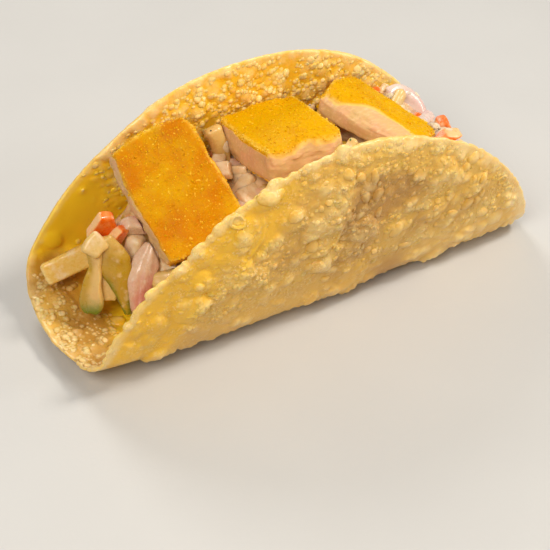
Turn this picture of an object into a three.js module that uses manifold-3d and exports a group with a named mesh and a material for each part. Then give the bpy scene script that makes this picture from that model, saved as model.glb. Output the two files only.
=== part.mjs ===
/*
 * A folded taco: a fried tortilla shell with blistered faces, three slices of breaded chicken and
 * the dressed salad that they lie on. Every size is in millimetres.
 *
 * The shell is modelled about its fold: +X runs along the fold, +Y points to the back wall, +Z up,
 * with z = 0 just inside the underside. The finished group is then moved so that
 * its origin is the middle of the overall box, on the surface that the taco stands on.
 */
import * as THREE from 'three';
import { mergeVertices } from 'three/addons/utils/BufferGeometryUtils.js';
import Module from 'manifold-3d';

const { clamp, degToRad, lerp, smoothstep } = THREE.MathUtils;

// ---------------------------------------------------------------- driving dimensions

// The tortilla before it is folded: nearly round, a little wider across the fold than along it.
const HALF_LENGTH = 75;
const HALF_GIRTH = 81.6;
const GIRTH_CENTRE = -0.5;
const THICKNESS = 2.2;
const RIM_THICKNESS = 1.7;

// The section below is that of a line just under the sheet's outer face.
const OUTER_SHARE = 0.4;

// The folded section: a nearly flat base, a round fold on each side of it, and two walls.
const BASE_HALF = 16.4;
const BASE_END_ANGLE = degToRad(8);
const FOLD_RADIUS = 11;
const WALLS = {
  front: { lean: degToRad(15.1), turnPerMm: degToRad(0.264) },
  back: { lean: degToRad(-9.9), turnPerMm: degToRad(-0.174) },
};

// The base curves up towards both ends, more at the left one.
const LEFT_LIFT = { height: 5.2, from: 0.2 };
const RIGHT_LIFT = { height: 1.0, from: 0.3 };

// The rim runs in and out of the wall's own surface in soft waves.
const RIM_WAVE = 0.55;

// The underside is flat up to this level, where the taco rests.
const REST_LEVEL = -0.2;

// Where the middle of the overall box lies, measured from the middle of the fold.
const BOX_CENTRE = { x: 0, y: -3 };

// Clearances: from the section line to the salad's loose pieces and to its packed core, and
// between salad and chicken.
const SALAD_INSET = 3.4;
const CORE_INSET = 3.9;
const CHICKEN_GAP = 0.5;

// Mesh fineness.
const SHEET_RINGS = 24;
const SECTION_STEPS = 11;

// Blisters on the outside of the front wall, each a place on the flat sheet (u along the fold,
// v round it from the middle of the base), a radius and a height.
const FRONT_BLISTERS = [
  { u: -24, v: -74.8, radius: 4.0, height: 1.2 },
  { u: -31, v: -64.8, radius: 6.3, height: 1.3 },
  { u: -35.5, v: -56.2, radius: 5.3, height: 1.3 },
  { u: -16, v: -64.5, radius: 4.7, height: 1.0 },
  { u: -5, v: -61.5, radius: 8.6, height: 1.4 },
  { u: -5, v: -42.8, radius: 4.2, height: 1.3 },
  { u: 7.5, v: -50.8, radius: 5.0, height: 1.1 },
  { u: 19.5, v: -45.5, radius: 3.8, height: 1.0 },
  { u: 32.5, v: -62.2, radius: 5.4, height: 1.2 },
  { u: 46, v: -52, radius: 4.6, height: 1.0 },
];
const SCATTERED_BLISTERS = { count: 70, smallest: 3.2, largest: 6.5, rise: 0.24 };
const OUTER_BLISTER_LIMIT = 1.6;
const INNER_BLISTER_LIMIT = 1.0;

// Breaded chicken slices: the middle of each, its turns about the fixed X, Y and Z axes in that
// order, and its length (X), width (Y) and thickness before it is turned.
const CHICKEN = [
  { name: 'chicken_1', at: [-32.7, 2.0, 38.9], turn: [42.7, -15.1, -4.7], size: [25.4, 36.1, 10.0] },
  { name: 'chicken_2', at: [3.0, 5.0, 41.8], turn: [-4.3, 0.7, 1.4], size: [25.5, 27.2, 10.9] },
  { name: 'chicken_3', at: [32.9, 0.8, 40.2], turn: [17.1, 21.4, 31.0], size: [21.2, 32.1, 9.1] },
];
const CHICKEN_EDGE_RADIUS = 1.7;
const CRUST = 1.5;
const CRAG = 0.45;
const CHICKEN_CELL = 3.6;

// The salad's top: its height at the front wall, in the middle and at the back wall, along the fold.
const SALAD_TOP = [
  { x: -52, heights: [5, 9, 11] },
  { x: -49, heights: [8, 14, 15] },
  { x: -45, heights: [11, 20, 19] },
  { x: -42, heights: [12, 22, 22] },
  { x: -39, heights: [12, 25, 26] },
  { x: -34, heights: [16, 29, 34] },
  { x: -29, heights: [27, 36, 42] },
  { x: -22, heights: [28, 36, 43] },
  { x: -14, heights: [27, 32, 36] },
  { x: -6, heights: [31, 34, 37] },
  { x: 18, heights: [33, 35, 37] },
  { x: 30, heights: [33, 35, 36] },
  { x: 46, heights: [35, 36, 36] },
  { x: 53, heights: [31, 32, 32] },
  { x: 59, heights: [23, 24, 24] },
  { x: 64, heights: [11, 12, 12] },
];
const SALAD_STATIONS = 28;
const SALAD_LUMP = 1.3;

// Salad pieces that are cut as strips and sticks: the line that each follows, its broad widths at
// even steps along that line, its thickness and the way its broad face looks.
const STRIPS = [
  // pale stick at the left end
  {
    line: [[-68, 17, 13.2], [-60, 14, 17], [-50, 10, 21.5], [-44, 8, 23]],
    widths: [7, 7],
    thickness: 3.4,
    facing: [-0.3, -0.8, 0.5],
  },
  // folded leaf rib: a narrow leg with a broad tip, a broad leg, and the pith between them
  {
    line: [[-58.5, 2.8, 29.4], [-58.6, 2, 23], [-60.7, 0.8, 17.3], [-62.4, -0.8, 9.6]],
    widths: [5.5, 3.4, 5.5, 8.5],
    thickness: 2.6,
    facing: [-0.6, -0.7, 0.2],
  },
  {
    line: [[-55.9, 2.8, 31.2], [-53.9, 0.5, 23.5], [-53.2, -2, 16.8], [-52.9, -4.8, 8.2]],
    widths: [7.5, 9.5, 6, 3],
    thickness: 2.6,
    facing: [-0.5, -0.8, 0.3],
  },
  {
    line: [[-56, 3, 25], [-56.2, 1.8, 18], [-56.8, 0.4, 11.5]],
    widths: [6, 8.5, 5.5],
    thickness: 2,
    facing: [-0.5, -0.8, 0.2],
  },
  // broad curved onion strip
  {
    line: [[-42.3, 0, 25.8], [-45.4, -2.5, 22.1], [-48.3, -4.5, 18.3], [-50.6, -5.5, 9]],
    widths: [4.5, 8, 7.5, 5],
    thickness: 3,
    facing: [-0.4, -0.8, 0.4],
  },
  // short white stick that reaches the front wall
  {
    line: [[-45.6, -5.5, 17.5], [-38, -10.5, 19.6]],
    widths: [5, 5],
    thickness: 4,
    facing: [-0.3, -0.7, 0.6],
  },
  // stick between the first two slices
  {
    line: [[-14.2, 15, 46], [-12.8, 13.5, 41], [-11.5, 13, 34]],
    widths: [5.2, 5.2],
    thickness: 4,
    facing: [-0.3, -0.8, 0.4],
  },
  // pale piece that stands between the last two slices
  {
    line: [[15.6, -10.5, 44.5], [18, -9.5, 41], [21, -8, 34]],
    widths: [5, 4.5],
    thickness: 3,
    facing: [-0.2, -0.8, 0.5],
  },
  // round slice that stands over the rim at the right end
  {
    line: [[46, 16, 36.2], [50.6, 15.8, 34.6], [54.6, 13.8, 30], [56.8, 9.5, 23]],
    widths: [6, 7.5, 8, 7],
    thickness: 2.8,
    facing: [-0.3, -0.9, 0.1],
  },
];

// Salad pieces that are cut as dice and wedges: the middle, the turns in degrees and the size.
const DICE = [
  { at: [-53, 6.4, 32.3], turn: [8, 12, -14], size: [7.5, 3.4, 8] },
  { at: [-57.8, 2.6, 30.2], turn: [-15, 10, -35], size: [6.5, 3.6, 6] },
  { at: [-45.6, 4, 30.6], turn: [25, 10, -15], size: [7.4, 4, 5] },
  { at: [-46, 3.2, 23.6], turn: [10, 15, 30], size: [5.6, 5.4, 8.4] },
  { at: [-51, 4, 28.4], turn: [20, 28, 15], size: [5, 3.2, 8.5] },
  { at: [-10, 4, 33], turn: [20, 30, 10], size: [7, 7, 6] },
  { at: [-15, -3, 30], turn: [50, 15, 40], size: [7, 5, 5] },
  { at: [-9.5, -6, 30.5], turn: [5, 25, 70], size: [6, 5, 4] },
  { at: [20, -4, 37.5], turn: [20, 10, 15], size: [7, 6, 3] },
  { at: [19, 8, 38.5], turn: [35, 20, 65], size: [6, 5, 5] },
  { at: [24, -14, 36.5], turn: [15, 15, 30], size: [6, 6, 4.5] },
  { at: [57.2, 1, 28.4], turn: [5, -8, -20], size: [6, 5, 9] },
  { at: [46.5, -8, 33], turn: [35, 5, 50], size: [6, 6, 5] },
];
const LOOSE_PIECES = 28;
const LOOSE_SPAN = [-41, 51];
const GOLDEN_SHARE = 0.618034;

// ---------------------------------------------------------------- helpers

/** A repeatable stream of numbers from 0 to 1. */
function randomStream(seed) {
  let state = seed;
  return () => {
    state = (state + 0x6d2b79f5) | 0;
    let t = Math.imul(state ^ (state >>> 15), 1 | state);
    t = (t + Math.imul(t ^ (t >>> 7), 61 | t)) ^ t;
    return ((t ^ (t >>> 14)) >>> 0) / 4294967296;
  };
}

/** Smooth bumps from -1 to 1, about one for each unit of length. */
function lumps(x, y, z) {
  return (
    Math.sin(2.1 * x + 1.3 * Math.sin(1.7 * y + 0.4)) *
      Math.cos(1.9 * y + 1.1 * Math.sin(2.3 * z + 1.1)) *
      0.6 +
    0.4 * Math.sin(3.7 * z + 2.9 * x + 0.7) * Math.cos(3.1 * y - 1.3 * z)
  );
}

function closedGeometry(points, triangles) {
  const geometry = new THREE.BufferGeometry();
  geometry.setAttribute('position', new THREE.Float32BufferAttribute(points.flat(), 3));
  geometry.setIndex(triangles.flat());
  return geometry;
}

/** Joins rings of equally many points into a tube, closed by a fan at each end. */
function loft(rings) {
  const count = rings[0].length;
  const points = rings.flat();
  const triangles = [];
  for (let i = 0; i + 1 < rings.length; i++) {
    for (let j = 0; j < count; j++) {
      const k = (j + 1) % count;
      const a = i * count + j;
      const b = i * count + k;
      triangles.push([a, b, b + count], [a, b + count, a + count]);
    }
  }
  for (const [ring, flip] of [[0, true], [rings.length - 1, false]]) {
    const middle = points.length;
    points.push([0, 1, 2].map((axis) => rings[ring].reduce((sum, p) => sum + p[axis], 0) / count));
    for (let j = 0; j < count; j++) {
      const a = ring * count + j;
      const b = ring * count + ((j + 1) % count);
      triangles.push(flip ? [b, a, middle] : [a, b, middle]);
    }
  }
  return closedGeometry(points, triangles);
}

// ---------------------------------------------------------------- the folded sheet

/** Carries a point and its heading along an arc of the section. */
function followArc(from, curvature, length) {
  const heading = from.heading + curvature * length;
  return {
    out: from.out + (Math.sin(heading) - Math.sin(from.heading)) / curvature,
    up: from.up + (Math.cos(from.heading) - Math.cos(heading)) / curvature,
    heading,
  };
}

/** The section's point at a distance v round the sheet: base, fold, then wall. */
function section(v) {
  const wall = v < 0 ? WALLS.front : WALLS.back;
  const along = Math.abs(v);
  const foldLength = FOLD_RADIUS * (Math.PI / 2 - wall.lean - BASE_END_ANGLE);
  let point = { out: 0, up: 0, heading: 0 };
  point = followArc(point, BASE_END_ANGLE / BASE_HALF, Math.min(along, BASE_HALF));
  point = followArc(point, 1 / FOLD_RADIUS, clamp(along - BASE_HALF, 0, foldLength));
  point = followArc(point, wall.turnPerMm, Math.max(along - BASE_HALF - foldLength, 0));
  return [Math.sign(v) * point.out, point.up];
}

function lift(u) {
  const left = clamp((-u / HALF_LENGTH - LEFT_LIFT.from) / (1 - LEFT_LIFT.from), 0, 1);
  const right = clamp((u / HALF_LENGTH - RIGHT_LIFT.from) / (1 - RIGHT_LIFT.from), 0, 1);
  return LEFT_LIFT.height * left ** 2 + RIGHT_LIFT.height * right ** 2;
}

/** The folded surface at (u, v), without waves or blisters. */
function sheetPoint(u, v) {
  const [y, z] = section(v);
  return new THREE.Vector3(u, y, z + lift(u));
}

/** The direction out of the trough at (u, v). */
function sheetNormal(u, v) {
  const step = 0.05;
  const along = sheetPoint(u + step, v).sub(sheetPoint(u - step, v));
  const round = sheetPoint(u, v + step).sub(sheetPoint(u, v - step));
  return round.cross(along).normalize();
}

function rimWave(u, v, reach) {
  return RIM_WAVE * smoothstep(reach, 0.6, 1) * Math.sin(u / 8.5 + v / 31) * Math.cos(u / 21 - v / 17);
}

/** The tallest blister over (u, v). */
function blisterHeight(u, v, blisters) {
  let height = 0;
  for (const blister of blisters) {
    const near = Math.hypot(u - blister.u, v - blister.v) / blister.radius;
    if (near < 1) height = Math.max(height, blister.height * (1 - near * near) ** 0.7);
  }
  return height;
}

function scatterBlisters(random, limit) {
  const blisters = [];
  while (blisters.length < SCATTERED_BLISTERS.count) {
    const turn = random() * 2 * Math.PI;
    const reach = 0.95 * Math.sqrt(random());
    const radius = lerp(SCATTERED_BLISTERS.smallest, SCATTERED_BLISTERS.largest, random() ** 2.2);
    blisters.push({
      u: HALF_LENGTH * reach * Math.cos(turn),
      v: GIRTH_CENTRE + HALF_GIRTH * reach * Math.sin(turn),
      radius,
      height: Math.min(limit, radius * SCATTERED_BLISTERS.rise),
    });
  }
  return blisters;
}

/** The shell: both faces of the folded sheet in rings about its middle, joined by a round rim. */
function shellGeometry() {
  const random = randomStream(11);
  const outside = [...FRONT_BLISTERS, ...scatterBlisters(random, OUTER_BLISTER_LIMIT)];
  const inside = scatterBlisters(random, INNER_BLISTER_LIMIT);
  const points = [];
  const triangles = [];

  function addPoint(reach, turn, side, rimScale) {
    const u = HALF_LENGTH * reach * Math.cos(turn);
    const v = GIRTH_CENTRE + HALF_GIRTH * reach * Math.sin(turn);
    const blisters = side > 0 ? outside : inside;
    const half = lerp(THICKNESS, RIM_THICKNESS, reach ** 6) / 2;
    const middle = OUTER_SHARE - THICKNESS / 2 + rimWave(u, v, reach);
    const away = side * rimScale * (half + blisterHeight(u, v, blisters));
    const point = sheetPoint(u, v).addScaledVector(sheetNormal(u, v), middle + away);
    if (side > 0) point.z = Math.max(point.z, REST_LEVEL);
    points.push(point.toArray());
  }

  const faceStart = {};
  for (const side of [1, -1]) {
    faceStart[side] = points.length;
    addPoint(0, 0, side, 1);
    for (let ring = 1; ring <= SHEET_RINGS; ring++) {
      for (let j = 0; j < 6 * ring; j++) {
        addPoint(ring / SHEET_RINGS, (2 * Math.PI * j) / (6 * ring), side, ring < SHEET_RINGS ? 1 : 0.6);
      }
    }
  }
  const rimCount = 6 * SHEET_RINGS;
  const rimStart = points.length;
  for (let j = 0; j < rimCount; j++) {
    addPoint(1 + 0.35 * (RIM_THICKNESS / HALF_LENGTH), (2 * Math.PI * j) / rimCount, 1, 0);
  }

  const ringStart = (ring) => (ring === 0 ? 0 : 1 + 3 * ring * (ring - 1));
  const at = (ring, j) => ringStart(ring) + (ring === 0 ? 0 : j % (6 * ring));
  for (const side of [1, -1]) {
    const add = (a, b, c) => {
      const face = [a, b, c].map((index) => faceStart[side] + index);
      triangles.push(side > 0 ? face.reverse() : face);
    };
    for (let ring = 1; ring <= SHEET_RINGS; ring++) {
      for (let sector = 0; sector < 6; sector++) {
        for (let j = 0; j < ring; j++) {
          const outer = sector * ring + j;
          const inner = sector * (ring - 1) + j;
          add(at(ring, outer), at(ring, outer + 1), at(ring - 1, inner));
          if (j < ring - 1) add(at(ring - 1, inner), at(ring, outer + 1), at(ring - 1, inner + 1));
        }
      }
    }
  }
  for (let j = 0; j < rimCount; j++) {
    const k = (j + 1) % rimCount;
    const outer = faceStart[1] + ringStart(SHEET_RINGS);
    const inner = faceStart[-1] + ringStart(SHEET_RINGS);
    triangles.push([outer + j, rimStart + k, rimStart + j], [outer + j, outer + k, rimStart + k]);
    triangles.push([rimStart + j, inner + k, inner + j], [rimStart + j, rimStart + k, inner + k]);
  }
  return closedGeometry(points, triangles);
}

// ---------------------------------------------------------------- chicken

/**
 * A breaded slice: a block with rounded edges. Its broad faces are craggy crust, and its sides
 * show the meat, which swells a little between the two crusts.
 */
function sliceGeometry(size, seed, grow = 0) {
  const half = size.map((length) => length / 2 + grow);
  const cells = size.map((length, axis) => (axis === 2 ? 4 : Math.max(2, Math.round(length / CHICKEN_CELL))));
  const box = new THREE.BoxGeometry(2 * half[0], 2 * half[1], 2 * half[2], ...cells);
  box.deleteAttribute('normal');
  box.deleteAttribute('uv');
  const geometry = mergeVertices(box, 1e-3);
  const position = geometry.attributes.position;
  const core = half.map((length) => length - CHICKEN_EDGE_RADIUS);
  for (let i = 0; i < position.count; i++) {
    const point = new THREE.Vector3().fromBufferAttribute(position, i);
    const onSide = Math.abs(point.z) < half[2] - 0.1;
    if (onSide) point.z = Math.sign(point.z) * Math.min(Math.abs(point.z) * 1.3, half[2] - CRUST);
    const nearest = new THREE.Vector3(
      clamp(point.x, -core[0], core[0]),
      clamp(point.y, -core[1], core[1]),
      clamp(point.z, -core[2], core[2]),
    );
    const outward = point.clone().sub(nearest);
    if (outward.lengthSq() > 0) outward.setLength(CHICKEN_EDGE_RADIUS);
    point.copy(nearest).add(outward);
    if (grow === 0) {
      const crag = CRAG * lumps(point.x / 2.6 + seed, point.y / 2.6, point.z / 2.6 + seed);
      const meat = onSide ? 0.35 * Math.cos((Math.PI * point.z) / half[2]) - 0.35 : -0.2;
      point.addScaledVector(outward.normalize(), crag + meat);
    }
    position.setXYZ(i, point.x, point.y, point.z);
  }
  return geometry;
}

function placement({ at, turn }) {
  const [x, y, z] = turn.map(degToRad);
  const rotation = new THREE.Quaternion().setFromEuler(new THREE.Euler(x, y, z, 'ZYX'));
  return new THREE.Matrix4().compose(new THREE.Vector3(...at), rotation, new THREE.Vector3(1, 1, 1));
}

// ---------------------------------------------------------------- salad

const wasm = await Module();
wasm.setup();

function toSolid(geometry) {
  const vertProperties = new Float32Array(geometry.attributes.position.array);
  const triVerts = new Uint32Array(geometry.index.array);
  return new wasm.Manifold(new wasm.Mesh({ numProp: 3, vertProperties, triVerts }));
}

function toGeometry(solid) {
  const mesh = solid.getMesh();
  const geometry = new THREE.BufferGeometry();
  geometry.setAttribute('position', new THREE.BufferAttribute(mesh.vertProperties, 3));
  geometry.setIndex(new THREE.BufferAttribute(mesh.triVerts, 1));
  return geometry;
}

function insetPoint(u, v, inset) {
  return sheetPoint(u, v).addScaledVector(sheetNormal(u, v), -inset);
}

/** Where the wall on one side, set in by the core's clearance, reaches a height. */
function wallDistanceAtHeight(u, side, height) {
  let low = 0;
  let high = 90;
  for (let i = 0; i < 30; i++) {
    const middle = (low + high) / 2;
    if (insetPoint(u, side * middle, CORE_INSET).z < height) low = middle;
    else high = middle;
  }
  return low;
}

/** The value at a share of the way along a list of stops that are evenly spread. */
function alongStops(stops, share) {
  const place = share * (stops.length - 1);
  const first = Math.min(Math.floor(place), stops.length - 2);
  return lerp(stops[first], stops[first + 1], place - first);
}

/** The salad's height at x, from the front wall (across = 0) to the back one (across = 1). */
function saladHeight(x, across) {
  const last = SALAD_TOP.length - 1;
  const next = Math.max(1, SALAD_TOP.findIndex((stop, index) => stop.x >= x || index === last));
  const [a, b] = [SALAD_TOP[next - 1], SALAD_TOP[next]];
  const share = (x - a.x) / (b.x - a.x);
  return lerp(alongStops(a.heights, across), alongStops(b.heights, across), share);
}

/** The packed salad under the pieces that show: it fills the trough up to its uneven top. */
function saladCore() {
  const topSteps = 6;
  const first = SALAD_TOP[0].x;
  const last = SALAD_TOP[SALAD_TOP.length - 1].x;
  const rings = [];
  for (let i = 0; i <= SALAD_STATIONS; i++) {
    const x = lerp(first, last, i / SALAD_STATIONS);
    const front = wallDistanceAtHeight(x, -1, saladHeight(x, 0));
    const back = wallDistanceAtHeight(x, 1, saladHeight(x, 1));
    const ring = [];
    for (let j = 0; j <= SECTION_STEPS; j++) {
      ring.push(insetPoint(x, lerp(-front, back, j / SECTION_STEPS), CORE_INSET).toArray());
    }
    const [start, end] = [ring[ring.length - 1], ring[0]];
    for (let j = 1; j < topSteps; j++) {
      const across = 1 - j / topSteps;
      const y = lerp(start[1], end[1], j / topSteps);
      ring.push([x, y, saladHeight(x, across) + SALAD_LUMP * lumps(x / 5, y / 5, 0)]);
    }
    rings.push(ring);
  }
  return loft(rings);
}

/** The room inside the shell, open upwards: nothing of the salad reaches past it. */
function trough() {
  const reach = 84;
  const stepAlong = 8;
  const stepRound = 6;
  const top = 100;
  const rings = [];
  for (let x = -reach; x <= reach; x += stepAlong) {
    const ring = [];
    for (let v = -reach; v <= reach; v += stepRound) ring.push(insetPoint(x, v, SALAD_INSET).toArray());
    const [front, back] = [ring[0], ring[ring.length - 1]];
    ring.push([x, back[1], top], [x, front[1], top]);
    rings.push(ring);
  }
  return loft(rings);
}

/** A strip of food along a smooth line, a rectangle in section and narrower at its ends. */
function stripGeometry({ line, widths, thickness, facing }) {
  const curve = new THREE.CatmullRomCurve3(line.map((point) => new THREE.Vector3(...point)));
  const steps = line.length > 2 ? 5 : 2;
  const rings = [];
  for (let i = 0; i <= steps; i++) {
    const middle = curve.getPointAt(i / steps);
    const tangent = curve.getTangentAt(i / steps);
    const side = new THREE.Vector3(...facing).cross(tangent).normalize();
    const normal = tangent.clone().cross(side).normalize();
    const end = i === 0 || i === steps ? 0.8 : 1;
    side.multiplyScalar((end * alongStops(widths, i / steps)) / 2);
    normal.multiplyScalar((end * thickness) / 2);
    const corners = [[1, 1], [-1, 1], [-1, -1], [1, -1]];
    rings.push(
      corners.map(([a, b]) => middle.clone().addScaledVector(side, a).addScaledVector(normal, b).toArray()),
    );
  }
  return loft(rings);
}

/** A cut cube or wedge with uneven corners. */
function diceGeometry({ size, at, turn }, random) {
  const box = new THREE.BoxGeometry(...size);
  box.deleteAttribute('normal');
  box.deleteAttribute('uv');
  const geometry = mergeVertices(box, 1e-3);
  const position = geometry.attributes.position;
  for (let i = 0; i < position.count; i++) {
    const scale = 0.82 + 0.3 * random();
    position.setXYZ(i, position.getX(i) * scale, position.getY(i) * scale, position.getZ(i) * scale);
  }
  return geometry.applyMatrix4(placement({ at, turn }));
}

/** Whether a slice of chicken lies over this place. */
function isUnderChicken(x, y, z) {
  return CHICKEN.some((slice) => {
    const local = new THREE.Vector3(x, y, z).applyMatrix4(placement(slice).invert());
    const [length, width, thickness] = slice.size;
    return Math.abs(local.x) < length / 2 && Math.abs(local.y) < width / 2 && local.z < thickness / 2;
  });
}

/** Small cut pieces that lie anyhow over the salad's top, where it isn't under the chicken. */
function loosePieces(random) {
  const pieces = [];
  for (let i = 0; pieces.length < LOOSE_PIECES; i++) {
    const x = lerp(LOOSE_SPAN[0], LOOSE_SPAN[1], (i * GOLDEN_SHARE) % 1);
    const across = lerp(0.1, 0.9, random());
    const height = saladHeight(x, across);
    const front = section(-wallDistanceAtHeight(x, -1, height))[0];
    const back = section(wallDistanceAtHeight(x, 1, height))[0];
    const y = lerp(front, back, across);
    if (isUnderChicken(x, y, height)) continue;
    pieces.push({
      at: [x, y, height + 0.5],
      turn: [60 * random() - 30, 50 * random() - 25, 180 * random()],
      size: [lerp(6, 13, random()), lerp(3.5, 5.5, random()), lerp(2.6, 4, random())],
    });
  }
  return pieces;
}

function saladGeometry() {
  const random = randomStream(23);
  let salad = toSolid(saladCore());
  const blocks = [...DICE, ...loosePieces(random)];
  const pieces = [...STRIPS.map(stripGeometry), ...blocks.map((dice) => diceGeometry(dice, random))];
  for (const piece of pieces) salad = salad.add(toSolid(piece));
  salad = salad.intersect(toSolid(trough()));
  CHICKEN.forEach((slice, index) => {
    const room = sliceGeometry(slice.size, index, CHICKEN_GAP).applyMatrix4(placement(slice));
    salad = salad.subtract(toSolid(room));
  });
  const bodies = salad.decompose();
  bodies.sort((a, b) => b.volume() - a.volume());
  return toGeometry(bodies[0]);
}

// ---------------------------------------------------------------- assembly

const crisp = new THREE.MeshStandardMaterial({ color: 0xe3b95c, roughness: 0.5, metalness: 0 });
const breading = new THREE.MeshStandardMaterial({ color: 0xe8a417, roughness: 0.65, metalness: 0 });
const dressed = new THREE.MeshStandardMaterial({ color: 0xe3cda4, roughness: 0.4, metalness: 0 });

function namedMesh(name, geometry, material) {
  const mesh = new THREE.Mesh(geometry, material);
  mesh.name = name;
  return mesh;
}

const taco = new THREE.Group();
taco.position.set(-BOX_CENTRE.x, -BOX_CENTRE.y, -REST_LEVEL);
taco.add(namedMesh('shell', shellGeometry(), crisp));
taco.add(namedMesh('salad', saladGeometry(), dressed));
CHICKEN.forEach((slice, index) => {
  const mesh = namedMesh(slice.name, sliceGeometry(slice.size, index), breading);
  mesh.applyMatrix4(placement(slice));
  taco.add(mesh);
});

export default taco;
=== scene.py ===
"""A folded taco: a blistered fried shell, breaded chicken slices and dressed chopped salad.

Shapes are worked out in millimetres about the fold of the shell: +X runs along the fold, +Y points
to the back wall and +Z up. They are moved to the part's own frame, in metres, as they become
meshes. (u, v) is a place on the flat sheet before it is folded: u along the fold, v round it from
the middle of the base, negative on the front wall.
"""

import itertools
import math

import bpy
import numpy as np
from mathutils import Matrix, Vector
from mathutils.bvhtree import BVHTree


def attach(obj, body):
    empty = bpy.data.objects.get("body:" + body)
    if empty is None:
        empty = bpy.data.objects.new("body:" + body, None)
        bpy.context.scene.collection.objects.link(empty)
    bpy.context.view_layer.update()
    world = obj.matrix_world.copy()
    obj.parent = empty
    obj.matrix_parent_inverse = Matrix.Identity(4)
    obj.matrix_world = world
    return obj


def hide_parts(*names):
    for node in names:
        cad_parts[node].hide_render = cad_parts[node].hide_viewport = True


bl_info = {
    "name": "Folded Taco",
    "version": (1, 0, 0),
    "blender": (4, 5, 0),
    "location": "3D View > Sidebar > Taco",
    "description": "Builds a folded taco with breaded chicken and dressed salad",
    "category": "Add Mesh",
}

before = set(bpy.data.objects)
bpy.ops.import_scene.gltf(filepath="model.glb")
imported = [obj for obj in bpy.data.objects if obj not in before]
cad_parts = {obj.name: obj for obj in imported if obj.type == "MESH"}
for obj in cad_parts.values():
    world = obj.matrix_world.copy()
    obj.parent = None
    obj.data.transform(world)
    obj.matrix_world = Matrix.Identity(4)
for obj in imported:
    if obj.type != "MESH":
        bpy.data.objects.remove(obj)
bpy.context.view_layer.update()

# -------- sizes, in millimetres

MM_PER_M = 1000.0
FOLD_TO_PART = np.array([0.0, 3.0, 0.2])

# The tortilla before it is folded, and where its faces lie from the section's line.
HALF_LENGTH = 75.0
HALF_GIRTH = 81.6
GIRTH_CENTRE = -0.5
THICKNESS = 2.2
RIM_THICKNESS = 1.7
OUTER_SHARE = 0.4
RIM_WAVE = 0.55
REST_LEVEL = -0.2

# The folded section: a nearly flat base, a round fold on each side of it, and two walls.
BASE_HALF = 16.4
BASE_END_ANGLE = math.radians(8)
FOLD_RADIUS = 11.0
FRONT_WALL = {"lean": math.radians(15.1), "turn_per_mm": math.radians(0.264)}
BACK_WALL = {"lean": math.radians(-9.9), "turn_per_mm": math.radians(-0.174)}
LEFT_LIFT = {"height": 5.2, "start": 0.2}
RIGHT_LIFT = {"height": 1.0, "start": 0.3}

# Large blisters on the outside of the front wall: u, v, radius, height.
FRONT_BLISTERS = [
    (-24, -74.8, 4.0, 1.2),
    (-31, -64.8, 6.3, 1.3),
    (-35.5, -56.2, 5.3, 1.3),
    (-16, -64.5, 4.7, 1.0),
    (-5, -61.5, 8.6, 1.4),
    (-5, -42.8, 4.2, 1.3),
    (7.5, -50.8, 5.0, 1.1),
    (19.5, -45.5, 3.8, 1.0),
    (32.5, -62.2, 5.4, 1.2),
    (46, -52, 4.6, 1.0),
]
FRONT_LEAN = (0.3, 0.05)
# Ledges on the front wall, where the sheet is puffed up on the left of a line: its points (u, v)
# from the rim down, how far it rises, and how far it reaches to the left.
FRONT_LEDGES = [
    ([(3, -75), (1.5, -64), (-1.5, -46)], 1.2, 6.0),
    ([(-24.5, -70), (-24, -64.5), (-26, -60), (-30, -55)], 1.1, 5.0),
    ([(37.5, -63), (38, -52)], 0.9, 5.0),
    ([(25, -47), (22, -37)], 0.9, 4.5),
    ([(12.5, -52), (12, -43)], 0.9, 4.0),
]
SCATTERED_BLISTERS = {"count": 70, "smallest": 3.2, "largest": 6.5, "rise": 0.24}
SCATTERED_SEED = 11
# How high these may be on the outside (1) and the inside (-1) of the shell. The two signs stand
# for its two faces wherever they are met below.
SCATTERED_LIMIT = {1: 1.6, -1: 1.0}
# Blisters raised in the sheet itself: least and greatest radius, height as a share of the radius,
# and how rare the larger ones are.
MEDIUM_BLISTERS = {"radii": (1.4, 3.2), "rise": 0.25, "rarity": 1.5}
SMALL_BLISTERS = {"radii": (0.9, 1.6), "rise": 0.27, "rarity": 1.4}
# Patches painted darker brown on the front wall: u, v, half width, half height and how brown.
BROWN_PATCHES = [(12, -61, 17, 8, 1.1), (-16, -50, 10, 7, 0.45)]
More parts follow.
